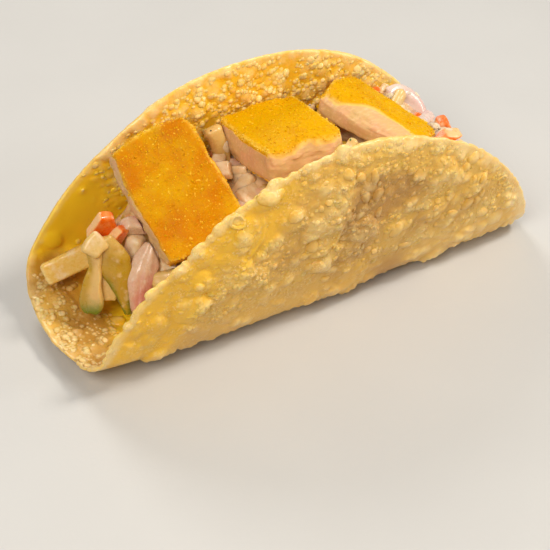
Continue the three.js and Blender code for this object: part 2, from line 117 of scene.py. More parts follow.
# Blisters with a clear edge, on the outside (1) and the inside (-1): u, v, half length, half width,
# heading in degrees and height, and whether it has popped.
CLEAR_BLISTERS = [
    (1, -33, -71.0, 2.7, 2.6, 0, 0.7, True),
    (1, 57, -48.5, 2.0, 1.9, 0, 0.6, True),
    (1, -22.5, -75.2, 4.2, 2.8, 10, 1.1, False),
    (1, 7, -64.2, 2.8, 1.5, 70, 0.9, False),
    (1, 9.5, -69.8, 3.0, 1.6, 80, 0.9, False),
    (1, 4.8, -71.6, 2.2, 1.5, 60, 0.8, False),
    (1, 0.5, -74.5, 2.0, 1.5, 40, 0.7, False),
    (1, 45, -44.5, 2.7, 2.2, 20, 0.9, False),
    (1, 52, -37.5, 2.6, 2.1, 0, 0.8, False),
    (1, 43.5, -63.2, 2.4, 2.0, 60, 0.7, False),
    (1, 40, -43.2, 2.2, 1.6, 30, 0.7, False),
    (1, -31, -64.8, 3.6, 2.6, 60, 0.6, False),
    (1, -15, -66, 2.6, 2.0, 30, 0.7, False),
    (1, -5.5, -42.5, 3.4, 2.8, 10, 0.9, False),
    (1, 20, -45.8, 3.0, 2.3, 100, 0.8, False),
    (1, -44, -52, 1.8, 1.4, 0, 0.6, False),
    (-1, -67, -0.8, 2.2, 2.0, 0, 0.8, False),
    (-1, -54.5, -0.8, 2.4, 2.2, 30, 0.8, False),
    (-1, -59.5, 17.8, 1.4, 1.2, 0, 0.6, False),
    (-1, -67.5, 12, 1.6, 1.4, 50, 0.5, False),
    (-1, -62.8, -6.2, 1.8, 1.6, 80, 0.6, False),
    (-1, -69.4, -13.2, 1.6, 1.3, 20, 0.5, True),
    (-1, -67.6, -17.6, 1.5, 1.3, 0, 0.5, False),
    (-1, -64.2, -21.6, 1.8, 1.5, 10, 0.6, False),
]
# The loose ones: how many, their height as a share of their radius, and how many have popped.
LOOSE_CLEAR_BLISTERS = {1: 330, -1: 120}
CLEAR_RISE = {1: (0.24, 0.4), -1: (0.15, 0.25)}
POPPED_SHARE = 0.03
# How deep a clear blister's edge lies in the sheet, and its foot below that edge.
CLEAR_EDGE_DEPTH = 0.12
CLEAR_FOOT = 0.7
CLEAR_RINGS = 7
CLEAR_SIDES = 14
# The front fold, in v, where the outline of the sheet shows any clear blister as a chip.
FRONT_FOLD = (-34, -12)

# A row of small blisters along the front fold, where the outline of the sheet shows them.
FOLD_BLISTER_LINE = -23.3
FOLD_BLISTER_SPAN = (-54, 68)
FOLD_BLISTER_SPACING = 1.9

# Beads, the crisp round blisters. One from its foot up, as shares of its radius and its height; then
# the least and greatest radius, the height as a share of the radius, and how pale the top is, partly
# painted highlight.
BEAD_SIDES = 8
BEAD_SECTION = ((1.2, -1.0), (0.9, 0.2), (0.5, 0.8))
BEAD_RADIUS = {1: (0.42, 1.0), -1: (0.55, 1.2)}
BEAD_HEIGHT = {1: (0.2, 0.36), -1: (0.16, 0.3)}
BEAD_TOP_PALE = {1: 0.35, -1: 0.9}

# How deep the feet of the blisters lie in each face, so that their tops make the sheet's outline.
BLISTER_SINK = {1: 0.6, -1: 0.25}

# How high the small blisters stand on the whole: the clear ones are set at this level.
TYPICAL_FINE_RELIEF = 0.25

# How finely the two faces are divided, in rings about the middle, and the round rim between them.
SHEET_RINGS = {1: 140, -1: 105}
RIM_STEPS = 5

# How far light travels in the sheet, and in the small blisters, which are thinner than that.
SHEET_GLOW = 1.8
BLISTER_GLOW = 0.4

# The rim stands in from an even outline all round, more at the front's left, and further in or out
# at some places: u, v, half width and shift.
RIM_INSET = 0.8
FRONT_LEFT_INSET = 0.5
RIM_SHIFTS = [(-50, -61, 10, -1.3), (-28, 75, 15, 1.4), (36, 72, 10, 0.6), (66, -38, 16, 0.5)]

# Breaded chicken slices: middle, turns about the fixed X, Y and Z axes, size, and the sides that
# were cut and show meat, as (axis, sign). Beside some of these the upper face is bare too: how wide
# the bare strip is, and how far the face falls away to the side. Then how much more than usual the
# crust is toasted, which for chicken_1 is partly painted shade as its top tilts away from the light,
# and how lumpy the meat is.
CHICKEN = [
    {
        "node": "chicken_1",
        "at": (-32.7, 2.0, 38.9),
        "turn": (42.7, -15.1, -4.7),
        "size": (25.4, 36.1, 10.0),
        "cut_sides": [(0, -1)],
        "bare_strips": {(0, -1): (0.5, 0.8)},
        # Partly painted shade: this slice's top tilts away from the light.
        "toast": 0.42,
        "lumpy": 0.55,
    },
    {
        "node": "chicken_2",
        "at": (3.0, 5.0, 41.8),
        "turn": (-4.3, 0.7, 1.4),
        "size": (25.5, 27.2, 10.9),
        "cut_sides": [(0, -1), (1, -1), (0, 1)],
        "bare_strips": {(1, -1): (0.7, 2.3)},
        "toast": -0.04,
        "lumpy": 0.1,
    },
    {
        "node": "chicken_3",
        "at": (32.9, 0.8, 40.2),
        "turn": (17.1, 21.4, 31.0),
        "size": (21.2, 32.1, 9.1),
        "cut_sides": [(0, -1), (1, -1)],
        "bare_strips": {(0, -1): (6.4, 2.6)},
        "toast": -0.05,
        "lumpy": 0.1,
    },
]
CHICKEN_EDGE_RADIUS = 1.7
CHICKEN_STEP = 0.34
CRUST = 1.5
CHICKEN_GAP = 0.3

# The salad's top along the fold: x, its height at the front wall, in the middle and at the back.
SALAD_TOP = np.array(
    [
        (-52, 5, 9, 11),
        (-49, 8, 14, 15),
        (-45, 11, 20, 19),
        (-42, 12, 22, 22),
        (-39, 12, 25, 26),
        (-34, 16, 29, 34),
        (-29, 27, 36, 42),
        (-22, 28, 36, 43),
        (-14, 27, 32, 36),
        (-6, 31, 34, 37),
        (18, 33, 35, 37),
        (30, 33, 35, 36),
        (46, 35, 36, 36),
        (53, 31, 32, 32),
        (59, 23, 24, 24),
        (64, 11, 12, 12),
    ],
    float,
)
# How far the pieces and the core stay off the section's line, and how lumpy the core is.
SALAD_INSET = 2.7
CORE_INSET = 3.9
SALAD_LUMP = 1.3
# How finely the core is divided: along the fold, round the trough, over the top and at each end.
CORE_STEP = 0.62
CORE_TROUGH_POINTS = 14
CORE_TOP_STEPS = 74
CORE_END_RINGS = 12

# Salad pieces cut as strips: what each is, its line, its broad widths at even steps along that
# line, its thickness and the way its broad face looks.
STRIPS = [
    (
        "stick",
        [(-68, 17, 13.2), (-60, 14, 17), (-50, 10, 21.5), (-44, 8, 23)],
        (7, 7),
        3.4,
        (-0.3, -0.8, 0.5),
    ),
    (
        "stalk",
        [(-58.5, 2.8, 29.4), (-58.6, 2, 23), (-60.7, 0.8, 17.3), (-62.4, -0.8, 9.6)],
        (5.5, 3.4, 5.5, 8.5),
        2.6,
        (-0.6, -0.7, 0.2),
    ),
    (
        "rib",
        [(-55.9, 2.8, 31.2), (-53.9, 0.5, 23.5), (-53.2, -2, 16.8), (-52.9, -4.8, 8.2)],
        (7.5, 9.5, 6, 3),
        2.6,
        (-0.5, -0.8, 0.3),
    ),
    (
        "pith",
        [(-56.4, 2.3, 25.2), (-56.6, 1.1, 18.2), (-57.2, -0.3, 11.7)],
        (6, 8.5, 5.5),
        2,
        (-0.5, -0.8, 0.2),
    ),
    (
        "pith",
        [(-60.4, 1.8, 27.6), (-58.2, 2.2, 29.9), (-55.4, 2.4, 31.4)],
        (5.6, 6.4),
        3.0,
        (-0.5, -0.8, 0.4),
    ),
    (
        "onion",
        [(-42.3, 0, 25.8), (-45.4, -2.5, 22.1), (-48.3, -4.5, 18.3), (-50.6, -5.5, 9)],
        (4.5, 8, 7.5, 5),
        3,
        (-0.4, -0.8, 0.4),
    ),
    ("pith", [(-45.6, -5.5, 17.5), (-38, -10.5, 19.6)], (5, 5), 4, (-0.3, -0.7, 0.6)),
    ("pith", [(-14.2, 15, 46), (-12.8, 13.5, 41), (-11.5, 13, 34)], (5.2, 5.2), 4, (-0.3, -0.8, 0.4)),
    ("pith", [(15.6, -10.5, 44.5), (18, -9.5, 41), (21, -8, 34)], (5, 4.5), 3, (-0.2, -0.8, 0.5)),
    (
        "onion",
        [(46, 16, 36.2), (50.6, 15.8, 34.6), (54.6, 13.8, 30), (56.8, 9.5, 23)],
        (6, 7.5, 8, 7),
        2.8,
        (-0.3, -0.9, 0.1),
    ),
]

# Salad pieces cut as dice and wedges: what each is, its middle, turns in degrees and size.
DICE = [
    ("tomato", (-53, 6.4, 32.3), (8, 12, -14), (7.5, 3.4, 8)),
    ("wedge", (-45.6, 4, 30.6), (25, 10, -15), (7.4, 4, 5)),
    ("cube", (-46, 3.2, 23.6), (10, 15, 30), (5.6, 5.4, 8.4)),
    ("tomato", (-51, 4, 28.4), (20, 28, 15), (5, 3.2, 8.5)),
    ("cube", (-10, 4, 33), (20, 30, 10), (7, 7, 6)),
    ("onion", (-15, -3, 30), (50, 15, 40), (7, 5, 5)),
    ("cube", (-9.5, -6, 30.5), (5, 25, 70), (6, 5, 4)),
    ("rib", (20, -4, 37.5), (20, 10, 15), (7, 6, 3)),
    ("tomato", (19, 8, 38.5), (35, 20, 65), (6, 5, 5)),
    ("onion", (24, -14, 36.5), (15, 15, 30), (6, 6, 4.5)),
    ("tomato", (57.2, 1, 28.4), (5, -8, -20), (6, 5, 9)),
    ("onion", (46.5, -8, 33), (35, 5, 50), (6, 6, 5)),
    ("tomato", (-40.6, -1.5, 24.5), (10, 0, 30), (2.5, 2, 4)),
    ("cube", (-12, -2, 31.2), (25, 5, 20), (9, 8, 6)),
]
# What a piece that is named for its form is made of.
MADE_OF = {"wedge": "onion"}
# Small pieces spread along the fold, each a golden share of the span on from the one before it.
GOLDEN_SHARE = 0.618034
LOOSE_PIECES = 28
LOOSE_SPAN = (-41, 51)
LOOSE_KINDS = ("onion", "pith", "cube", "pith", "onion", "tomato", "stick", "onion", "cube", "pith")
FILLER_SPAN = (-40, 50)
FILLER_KINDS = ("cube", "onion", "rib", "pith", "cube", "tomato", "onion", "pith")
# Between the first two slices, only cubes and no fillers.
CLEAR_GAP = (-19, -7)
# The right end's own cuts: how many, where along the fold, and how high at most. Those beyond its
# face lie against that face.
END_CUTS = 110
END_SPAN = (48, 67)
END_FACE = 63.5
END_TOP = 26.5
END_KINDS = ("onion", "cube", "pith", "onion", "cube", "tomato", "pith", "rib")
# How finely each group of pieces is divided, and where its run of seeds starts.
STRIP_STEP = 0.42
SHRED_STEP = 0.5
DICE_STEP = 0.45
FILLER_STEP = 0.5
END_STEP = 0.55
FIRST_SEED = {"strips": 0, "dice": 20, "loose": 50, "fillers": 100, "shreds": 300, "end": 400}

# Pools of dressing: rings and points round each. Then where pools and flecks may lie, in x and y.
SMEAR_RINGS = 5
SMEAR_SIDES = 16
DRESSING_SPANS = ((-38, 60), (-22, 22))
FLECK_SPANS = ((-38, 44), (-22, 22))

# -------- places on the stage, in metres

FLOOR_HALF = 2.5
LIT_POINT = (0, 0, 0.02)
LIGHT_COLOUR = (1.0, 0.96, 0.9)
# Soft round lights: place and width.
LIGHTS = {
    "key": ((0.34, -0.2, 0.6), 0.16),
    "side": ((0.6, -0.36, 0.2), 0.16),
    "fill": ((-0.38, -0.29, 0.5), 0.3),
    "back": ((0.05, 0.5, 0.45), 0.3),
}
CAMERA_LOOKS_AT = (-0.00368, 0.00047, 0.0002)
SENSOR_MM = 36

# -------- settings


def linear(code):
    """A colour from its usual hex code, in linear light."""
    shares = [((code >> shift) & 255) / 255 for shift in (16, 8, 0)]
    return [s / 12.92 if s <= 0.04045 else ((s + 0.055) / 1.055) ** 2.4 for s in shares]


# Shades that vary a colour of the settings, or stand for something too small to have one.
SHADES = {
    "painted grain glint": 0xFBE9BE,
    "burnt speck": 0xA85A22,
    "painted crumb glint": 0xF8CC40,
    "worn edge": 0xF0C650,
    "meat fibre": 0xF2D2A4,
    "crust lip": 0xF0C55E,
    "palest crumb": 0xF6D470,
    "stick fibre": 0xEED690,
    "stick end": 0xF0DCA0,
    "pith shade": 0xD3B266,
    "onion vein": 0xFFF6EE,
    "shaded onion": 0xD8C4BC,
    "tomato rim": 0xF0C88C,
    "cube light": 0xF0E0C4,
    "packed bits": 0xD8A88A,
    "painted hollow shade": 0xA9763F,
    "dressing light": 0xF7EBD3,
    "herb": 0x4F6B1E,
    "pepper": 0x3A2A1C,
    "chilli": 0xC4421C,
    "floor light": 0xCBC9C5,
}


def shade(name):
    return linear(SHADES[name])


def colour_setting(name, description, code):
    return bpy.props.FloatVectorProperty(
        name=name, description=description, default=linear(code), subtype="COLOR", min=0, max=1
    )


def count_setting(name, description, default):
    return bpy.props.IntProperty(name=name, description=description, default=default, min=0)


def length_setting(name, description, default_mm):
    return bpy.props.FloatProperty(
        name=name, description=description, default=default_mm / MM_PER_M, unit="LENGTH", precision=5
    )


def power_setting(name, description, default):
    return bpy.props.FloatProperty(name=name, description=description, default=default, unit="POWER")


def angle_setting(name, description, degrees):
    return bpy.props.FloatProperty(
        name=name, description=description, default=math.radians(degrees), unit="ROTATION"
    )


class ShellSettings(bpy.types.PropertyGroup):
    """The fried tortilla."""

    medium_blisters: count_setting("Medium blisters", "Blisters 3 to 7 mm across on each face", 760)
    small_blisters: count_setting("Small blisters", "Blisters 2 to 3 mm across on each face", 4000)
    bead_blisters: count_setting("Beads", "Crisp round blisters about 1 to 2 mm across, outside", 2200)
    inner_beads: count_setting("Inner beads", "The same, near the top and the left end inside", 1500)
    grain: length_setting("Grain", "Width of the finest blisters", 1.2)
    crisp: colour_setting("Crisp", "Main colour of the fried sheet", 0xE0AE4A)
    golden: colour_setting("Golden", "Smooth oily places", 0xECB626)
    # Brighter than the outside's golden: partly the inside's own colour and partly painted light in the
    # trough.
    inside: colour_setting("Inside", "Smooth places of the inside", 0xFFD024)
    # Painted on puffed places and the rim: partly their own paler colour and partly painted highlight.
    pale: colour_setting("Pale", "Tops of blisters and the rim", 0xF4D896)
    # Painted in hollows and in the gaps between grains, partly as shade, and on browner patches.
    browned_and_shaded: colour_setting("Browned", "Hollows that fried longest", 0xB07C32)


class ChickenSettings(bpy.types.PropertyGroup):
    """The breaded slices."""

    crumb: length_setting("Crumb", "Width of a crumb", 0.6)
    loose_crumbs: count_setting("Loose crumbs", "Crumbs that stand proud on each slice", 2400)
    crust: colour_setting("Crust", "Fried breading", 0xD69E00)
    toasted: colour_setting("Toasted", "Darker places of the breading", 0xC67400)
    crumb_light: colour_setting("Light crumb", "Crumbs that took less heat", 0xEEB606)
    meat: colour_setting("Meat", "Cut chicken", 0xD0AA72)
    meat_pink: colour_setting("Meat, pink", "Moist places of the cut chicken", 0xD8A67A)


class SaladSettings(bpy.types.PropertyGroup):
    """The chopped salad."""

    fillers: count_setting("Small cuts", "Small pieces that fill between the large ones", 100)
    shreds: count_setting("Shreds", "Thin curved shreds over the top", 16)
    specks: count_setting("Specks", "Flecks of herb and pepper", 16)
    dressing_drops: count_setting("Dressing", "Pools and smears of dressing", 20)
    dressing: colour_setting("Dressing", "Creamy dressing", 0xE8CCA2)
    stick: colour_setting("Stick", "Pale root sticks", 0xE0B04C)
    rib_green: colour_setting("Leaf edge", "Green edge of a leaf rib", 0x6C780F)
    rib_pale: colour_setting("Leaf rib", "Yellow-green rib of a leaf", 0xB89024)
    onion_white: colour_setting("Onion", "White onion", 0xE0BC9C)
    onion_pink: colour_setting("Onion, pink", "Pink edge of the onion", 0xD08476)
    tomato: colour_setting("Tomato skin", "Skin side of the tomato", 0xEC6804)
    tomato_flesh: colour_setting("Tomato flesh", "Cut side of the tomato", 0xEA8A44)
    cube: colour_setting("Cube", "White cubes", 0xE6C392)
    pith: colour_setting("Pith", "Pale inside of ribs and stalks", 0xDAB46C)


class StageSettings(bpy.types.PropertyGroup):
    """Floor, lights and camera."""

    floor: colour_setting("Floor", "Pale matt floor", 0xC2C0BC)
    key_power: power_setting("Key light", "Power of the light above the taco", 3.0)
    side_power: power_setting("Side light", "Power of the low light that rakes the front wall", 1.5)
    fill_power: power_setting("Fill light", "Power of the soft light above the left end", 2.7)
    back_power: power_setting("Back light", "Power of the soft light behind", 1.7)
    room_light: bpy.props.FloatProperty(
        name="Room light", description="Strength of the even light all round", default=0.22, min=0
    )
    lens: bpy.props.FloatProperty(
        name="Lens", description="Focal length on a 36 mm sensor", default=107.8, unit="CAMERA"
    )
    camera_height: angle_setting("Camera height", "Angle above the floor", 39.09)
    camera_side: angle_setting("Camera side", "Angle round to the left end", 31.02)
    camera_distance: length_setting("Camera distance", "From the point it looks at", 486.8)


# -------- numbers and noise

CUBE_CORNERS = np.array(list(itertools.product((0, 1), repeat=3)))
NEIGHBOURS = np.array(list(itertools.product((-1, 0, 1), repeat=3)))


def smoothstep(value, low, high):
    """0 up to `low` and 1 from `high` on, or the other way round where `low` is the greater."""
    share = np.clip((value - low) / (high - low), 0, 1)
    return share * share * (3 - 2 * share)


def unit(vectors):
    """The same directions with a length of 1."""
    return vectors / np.maximum(np.linalg.norm(vectors, axis=-1, keepdims=True), 1e-9)


WORD = 0xFFFFFFFF


def random_stream(seed):
    """The same repeatable stream of numbers from 0 to 1 that places the solids' blisters."""
    state = seed
    while True:
        state = (state + 0x6D2B79F5) & WORD
        mixed = (state ^ (state >> 15)) * (1 | state) & WORD
        mixed = (mixed + (mixed ^ (mixed >> 7)) * (61 | mixed)) & WORD ^ mixed
        yield (mixed ^ (mixed >> 14)) / (WORD + 1)


def scrambled(lattice, seed):
    """A fixed random value from -1 to 1 for each point of a lattice."""
    mixed = lattice @ np.array([73856093, 19349663, 83492791]) + (seed + 1) * 2654435761
    mixed = (mixed ^ (mixed >> 13)) * 1274126177
    mixed = (mixed ^ (mixed >> 16)) & 0xFFFFFF
    return mixed / 0x7FFFFF - 1


def waves(points, size, seed=0):
    """Smooth random values from -1 to 1 in space, with bumps about `size` across."""
    cell = points / size
    base = np.floor(cell).astype(np.int64)
    blend = cell - base
    blend = blend * blend * (3 - 2 * blend)
    total = np.zeros(len(cell))
    for corner in CUBE_CORNERS:
        total += np.prod(np.where(corner, blend, 1 - blend), axis=1) * scrambled(base + corner, seed)
    return total


def grains(points, size, seed=0):
    """For packed grains about `size` across: how near the middle of its grain each point is, from
    0 to 1, and a random value for that grain."""
    cell = points / size
    base = np.floor(cell).astype(np.int64)
    nearest = np.full(len(cell), np.inf)
    tint = np.zeros(len(cell))
    for step in NEIGHBOURS:
        lattice = base + step
        middle = lattice + 0.5 + 0.5 * np.stack([scrambled(lattice, seed + k) for k in (1, 2, 3)], axis=1)
        distance = ((middle - cell) ** 2).sum(axis=1)
        nearer = distance < nearest
        nearest[nearer] = distance[nearer]
        tint[nearer] = scrambled(lattice, seed + 4)[nearer]
    return np.clip(1 - np.sqrt(nearest), 0, 1), tint


def lumps(x, y, z):
    """The soft lumps of the salad's solid."""
    first = np.sin(2.1 * x + 1.3 * np.sin(1.7 * y + 0.4)) * np.cos(1.9 * y + 1.1 * np.sin(2.3 * z + 1.1))
    return 0.6 * first + 0.4 * np.sin(3.7 * z + 2.9 * x + 0.7) * np.cos(3.1 * y - 1.3 * z)


def turning(turn):
    """The matrix of turns in degrees about the fixed X, Y and Z axes, in that order."""
    (cx, cy, cz), (sx, sy, sz) = np.cos(np.radians(turn)), np.sin(np.radians(turn))
    about_x = np.array([[1, 0, 0], [0, cx, -sx], [0, sx, cx]])
    about_y = np.array([[cy, 0, sy], [0, 1, 0], [-sy, 0, cy]])
    about_z = np.array([[cz, -sz, 0], [sz, cz, 0], [0, 0, 1]])
    return about_z @ about_y @ about_x


# -------- the folded sheet


def follow_arc(point, curvature, length):
    """Carries a point of the section and its heading along an arc."""
    out, up, heading = point
    turned = heading + curvature * length
    out = out + (np.sin(turned) - np.sin(heading)) / curvature
    up = up + (np.cos(heading) - np.cos(turned)) / curvature
    return out, up, turned


def section(v):
    """Y and Z of the folded sheet at a distance v round it: base, fold, then wall."""
    front = v < 0
    lean = np.where(front, FRONT_WALL["lean"], BACK_WALL["lean"])
    turn_per_mm = np.where(front, FRONT_WALL["turn_per_mm"], BACK_WALL["turn_per_mm"])
    along = np.abs(v)
    fold_length = FOLD_RADIUS * (math.pi / 2 - lean - BASE_END_ANGLE)
    point = (0.0, 0.0, 0.0)
    point = follow_arc(point, BASE_END_ANGLE / BASE_HALF, np.minimum(along, BASE_HALF))
    point = follow_arc(point, 1 / FOLD_RADIUS, np.clip(along - BASE_HALF, 0, fold_length))
    point = follow_arc(point, turn_per_mm, np.maximum(along - BASE_HALF - fold_length, 0))
    return np.sign(v) * point[0], point[1]


def lift(u):
    """How far the base curves up towards both ends."""
    left = np.clip((-u / HALF_LENGTH - LEFT_LIFT["start"]) / (1 - LEFT_LIFT["start"]), 0, 1)
    right = np.clip((u / HALF_LENGTH - RIGHT_LIFT["start"]) / (1 - RIGHT_LIFT["start"]), 0, 1)
    return LEFT_LIFT["height"] * left**2 + RIGHT_LIFT["height"] * right**2


def flat_place(reach, turn):
    """The place (u, v) at a turn about the flat sheet's middle, a share of the way out to its rim."""
    return HALF_LENGTH * reach * math.cos(turn), GIRTH_CENTRE + HALF_GIRTH * reach * math.sin(turn)


def sheet_point(u, v):
    """Where a place on the flat sheet lies once it is folded."""
    y, z = section(v)
    return np.stack([u, y, z + lift(u)], axis=-1)


def sheet_normal(u, v):
    """The direction out of the trough."""
    step = 0.05
    along = sheet_point(u + step, v) - sheet_point(u - step, v)
    round_it = sheet_point(u, v + step) - sheet_point(u, v - step)
    return unit(np.cross(round_it, along))


def inset_point(u, v, inset):
    """The same, set in from the sheet towards the salad."""
    return sheet_point(u, v) - inset * sheet_normal(u, v)


def rim_wave(u, v, reach):
    """How far the sheet sways in and out of its section near the rim."""
    return RIM_WAVE * smoothstep(reach, 0.6, 1) * np.sin(u / 8.5 + v / 31) * np.cos(u / 21 - v / 17)


# -------- relief of the sheet

MAP_REACH = 90.0
MAP_PITCH = 0.3
MAP_AXIS = np.arange(-MAP_REACH, MAP_REACH, MAP_PITCH)


class Relief:
    """Heights over the flat sheet on an even grid, raised one blister at a time."""

    def __init__(self):
        self.height = np.zeros((MAP_AXIS.size, MAP_AXIS.size))

    def raise_blister(self, u, v, radius, height, lean=(0.0, 0.0), power=0.9):
        """Raises a dome that is steeper on the side it leans to."""
        rows = slice(*np.searchsorted(MAP_AXIS, (u - radius, u + radius)))
        columns = slice(*np.searchsorted(MAP_AXIS, (v - radius, v + radius)))
        across = (MAP_AXIS[rows, None] - u) / radius
        along = (MAP_AXIS[None, columns] - v) / radius
        near = across**2 + along**2
        inside = np.clip(1 - near, 0, 1)
        skewed = (across - lean[0] * inside) ** 2 + (along - lean[1] * inside) ** 2
        dome = np.where(near < 1, np.clip(1 - skewed, 0, 1) ** power, 0)
        window = self.height[rows, columns]
        np.maximum(window, height * dome, out=window)

    def raise_ledge(self, line, rise, reach):
        """Raises the sheet on the left of a line of points, with a crisp drop on its right."""
        u, v = np.array(line, float).T
        left = np.interp(MAP_AXIS, v, u)[None, :] - MAP_AXIS[:, None]
        ends = smoothstep(MAP_AXIS, v[0] - 2, v[0] + 3) * (1 - smoothstep(MAP_AXIS, v[-1] - 3, v[-1] + 2))
        profile = smoothstep(left, -0.55, 0.55) * np.exp(-np.maximum(left, 0) / reach)
        self.height = np.maximum(self.height, rise * profile * ends[None, :])

    def scatter(self, random, count, crowding, radii, rise, rarity):
        """Raises blisters of random size all over the sheet, more of them where it is crowded."""
        low, high = radii
        for _ in range(count):
            turn = random.uniform(0, 2 * math.pi)
            u, v = flat_place(math.sqrt(random.uniform(0, 1.03)), turn)
            radius = low + (high - low) * random.uniform() ** rarity
            height = radius * rise * random.uniform(0.6, 1.15)
            heading = random.uniform(0, 2 * math.pi)
            if random.uniform() < crowding(u, v):
                lean = (0.1 * math.cos(heading), 0.1 * math.sin(heading))
                self.raise_blister(u, v, radius, height, lean)


def soft_field(random, size):
    """Random waves over the sheet, about `size` across and mostly from -1 to 1."""
    rough = np.fft.rfft2(random.standard_normal((MAP_AXIS.size, MAP_AXIS.size)))
    rows = np.fft.fftfreq(MAP_AXIS.size, MAP_PITCH)[:, None]
    columns = np.fft.rfftfreq(MAP_AXIS.size, MAP_PITCH)[None, :]
    smooth = np.fft.irfft2(rough * np.exp(-((rows**2 + columns**2) * (1.6 * size) ** 2)))
    return smooth / (2 * smooth.std())


def sample(field, u, v):
    """The values of a field over the sheet at (u, v)."""
    across = np.clip((u + MAP_REACH) / MAP_PITCH, 0, MAP_AXIS.size - 2)
    along = np.clip((v + MAP_REACH) / MAP_PITCH, 0, MAP_AXIS.size - 2)
    i, j = across.astype(int), along.astype(int)
    a, b = across - i, along - j
    near = field[i, j] * (1 - a) + field[i + 1, j] * a
    far = field[i, j + 1] * (1 - a) + field[i + 1, j + 1] * a
    return near * (1 - b) + far * b


def solid_blisters(stream, limit):
    """The large blisters that the solid has too."""
    spread = SCATTERED_BLISTERS
    blisters = []
    for _ in range(spread["count"]):
        turn = next(stream) * 2 * math.pi
        u, v = flat_place(0.95 * math.sqrt(next(stream)), turn)
        radius = spread["smallest"] + (spread["largest"] - spread["smallest"]) * next(stream) ** 2.2
        blisters.append((u, v, radius, min(limit, radius * spread["rise"])))
    return blisters


def rim_bubbles(random):
    """Bubbles that break the rim's line: u, v, radius, height and lean, high at the front's left."""
    bubbles = []
    turn = 0.0
    while turn < 2 * math.pi:
        u, v = HALF_LENGTH * math.cos(turn), HALF_GIRTH * math.sin(turn)
        front_left = v < -12 and u < 2
        radius = 1.1 + 1.6 * random.uniform() ** 1.5
        height = random.uniform(0.35, 0.75) * radius if front_left else random.uniform(0.1, 0.5)
        if v > 20:
            height *= 0.4
        lean = (0.3 * math.sin(turn), -0.3 * math.cos(turn))
        bubbles.append((0.99 * u, GIRTH_CENTRE + 0.99 * v, radius, height, lean))
        turn += random.uniform(1.1, 2.2) * radius / HALF_LENGTH
    return bubbles


def rim_shift(u, v):
    """How far the rim stands out from an even outline or, below 0, in from it."""
    front_left = smoothstep(-v, 0, 16) * smoothstep(-u, 0, 16)
    shift = -RIM_INSET - FRONT_LEFT_INSET * front_left
    for at_u, at_v, half_width, extra in RIM_SHIFTS:
        shift = shift + extra * np.exp(-((u - at_u) ** 2 + (v - at_v) ** 2) / half_width**2)
    return shift


def crowding_outside(u, v):
    """How thickly small blisters stand on the outside: few by the rim at the front's left."""
    smooth = u < -14 and v < 0 and math.hypot(u / HALF_LENGTH, v / HALF_GIRTH) > 0.8
    return 0.25 if smooth else 1.0


def crowding_inside(u, v):
    """The same on the inside: most near the left end and at the top of the back wall."""
    near_end = smoothstep(-u, 46, 62) * smoothstep(-abs(v), -34, -20)
    near_top = smoothstep(v, 36, 50) * smoothstep(u, -60, -36)
    return 0.08 + 0.92 * max(near_end, near_top)


CROWDING = {1: crowding_outside, -1: crowding_inside}


def inner_end(u, v, start=50, up=34):
    """From 0 to 1 towards the left end of the inside, from `start` on and `up` round each wall."""
    return smoothstep(-u, start, start + 14) * smoothstep(-np.abs(v), -up, 14 - up)


def face_fields(random, settings, side, large, bubbles):
    """One face's relief, with and without its small blisters, where it is painted pale, partly for puffed
    dough and partly as highlight, and where brown, partly as shade.
    """
    big, medium, small = Relief(), Relief(), Relief()
    for index, (u, v, radius, height) in enumerate(large):
        heading = random.uniform(0, 2 * math.pi)
        lean = (0.35 * math.cos(heading), 0.35 * math.sin(heading))
        if side > 0 and index < len(FRONT_BLISTERS):
            lean = FRONT_LEAN
        big.raise_blister(u, v, radius, height, lean, power=0.5)
    for u, v, radius, height, lean in bubbles:
        medium.raise_blister(u, v, 1.15 * radius, 0.4 * height, lean)
    small_count = settings.small_blisters * (1 if side > 0 else 2)
    medium.scatter(random, settings.medium_blisters, CROWDING[side], **MEDIUM_BLISTERS)
    small.scatter(random, small_count, CROWDING[side], **SMALL_BLISTERS)
    if side > 0:
        for line, rise, reach in FRONT_LEDGES:
            big.raise_ledge(line, rise, reach)
        for u in np.arange(*FOLD_BLISTER_SPAN, FOLD_BLISTER_SPACING):
            u, v = u + random.uniform(-0.7, 0.7), FOLD_BLISTER_LINE + random.uniform(-1.3, 1.3)
            small.raise_blister(u, v, random.uniform(1.0, 1.5), random.uniform(0.45, 0.8))
    warp = 0.4 * soft_field(random, 5), 0.4 * soft_field(random, 5)
    u, v = np.meshgrid(MAP_AXIS, MAP_AXIS, indexing="ij")
    big_height = sample(big.height, u + warp[0], v + warp[1])
    fine = 0.9 * sample(medium.height, u + warp[0], v + warp[1]) + sample(small.height, u, v)
    swell = 0.5 * soft_field(random, 16) + 0.18 * soft_field(random, 6)
    puff = np.clip(0.8 * fine + 0.25 * big_height, 0, 1.4)
    # Browner in the low places between swells and blisters, partly as painted shade.
    brown = 0.35 + 0.5 * soft_field(random, 13) - 0.35 * swell - 0.2 * big_height
    if side > 0:
        # The upper right of the front wall is painted paler, as light.
        puff += 0.35 * smoothstep(u, 15, 40) * smoothstep(v, -46, -34) * smoothstep(-v, 0, 12)
        for at_u, at_v, half_width, half_height, amount in BROWN_PATCHES:
            away = ((u - at_u) / half_width) ** 2 + ((v - at_v) / half_height) ** 2
            brown += amount * np.exp(-away)
    else:
        # Inside, the deep left end is painted browner and less pale, partly as shade; the top of the back
        # wall is painted less brown and paler, as light.
        end = inner_end(u, v, start=48, up=40)
        brown += 1.5 * end - 0.6 - 0.4 * smoothstep(v, 36, 50)
        puff *= 1 + 0.4 * smoothstep(v, 38, 54) - 0.4 * end
    ground = big_height + swell
    return {
        "height": ground + fine,
        "ground": ground + TYPICAL_FINE_RELIEF,
        "puff": puff,
        "brown": brown,
    }


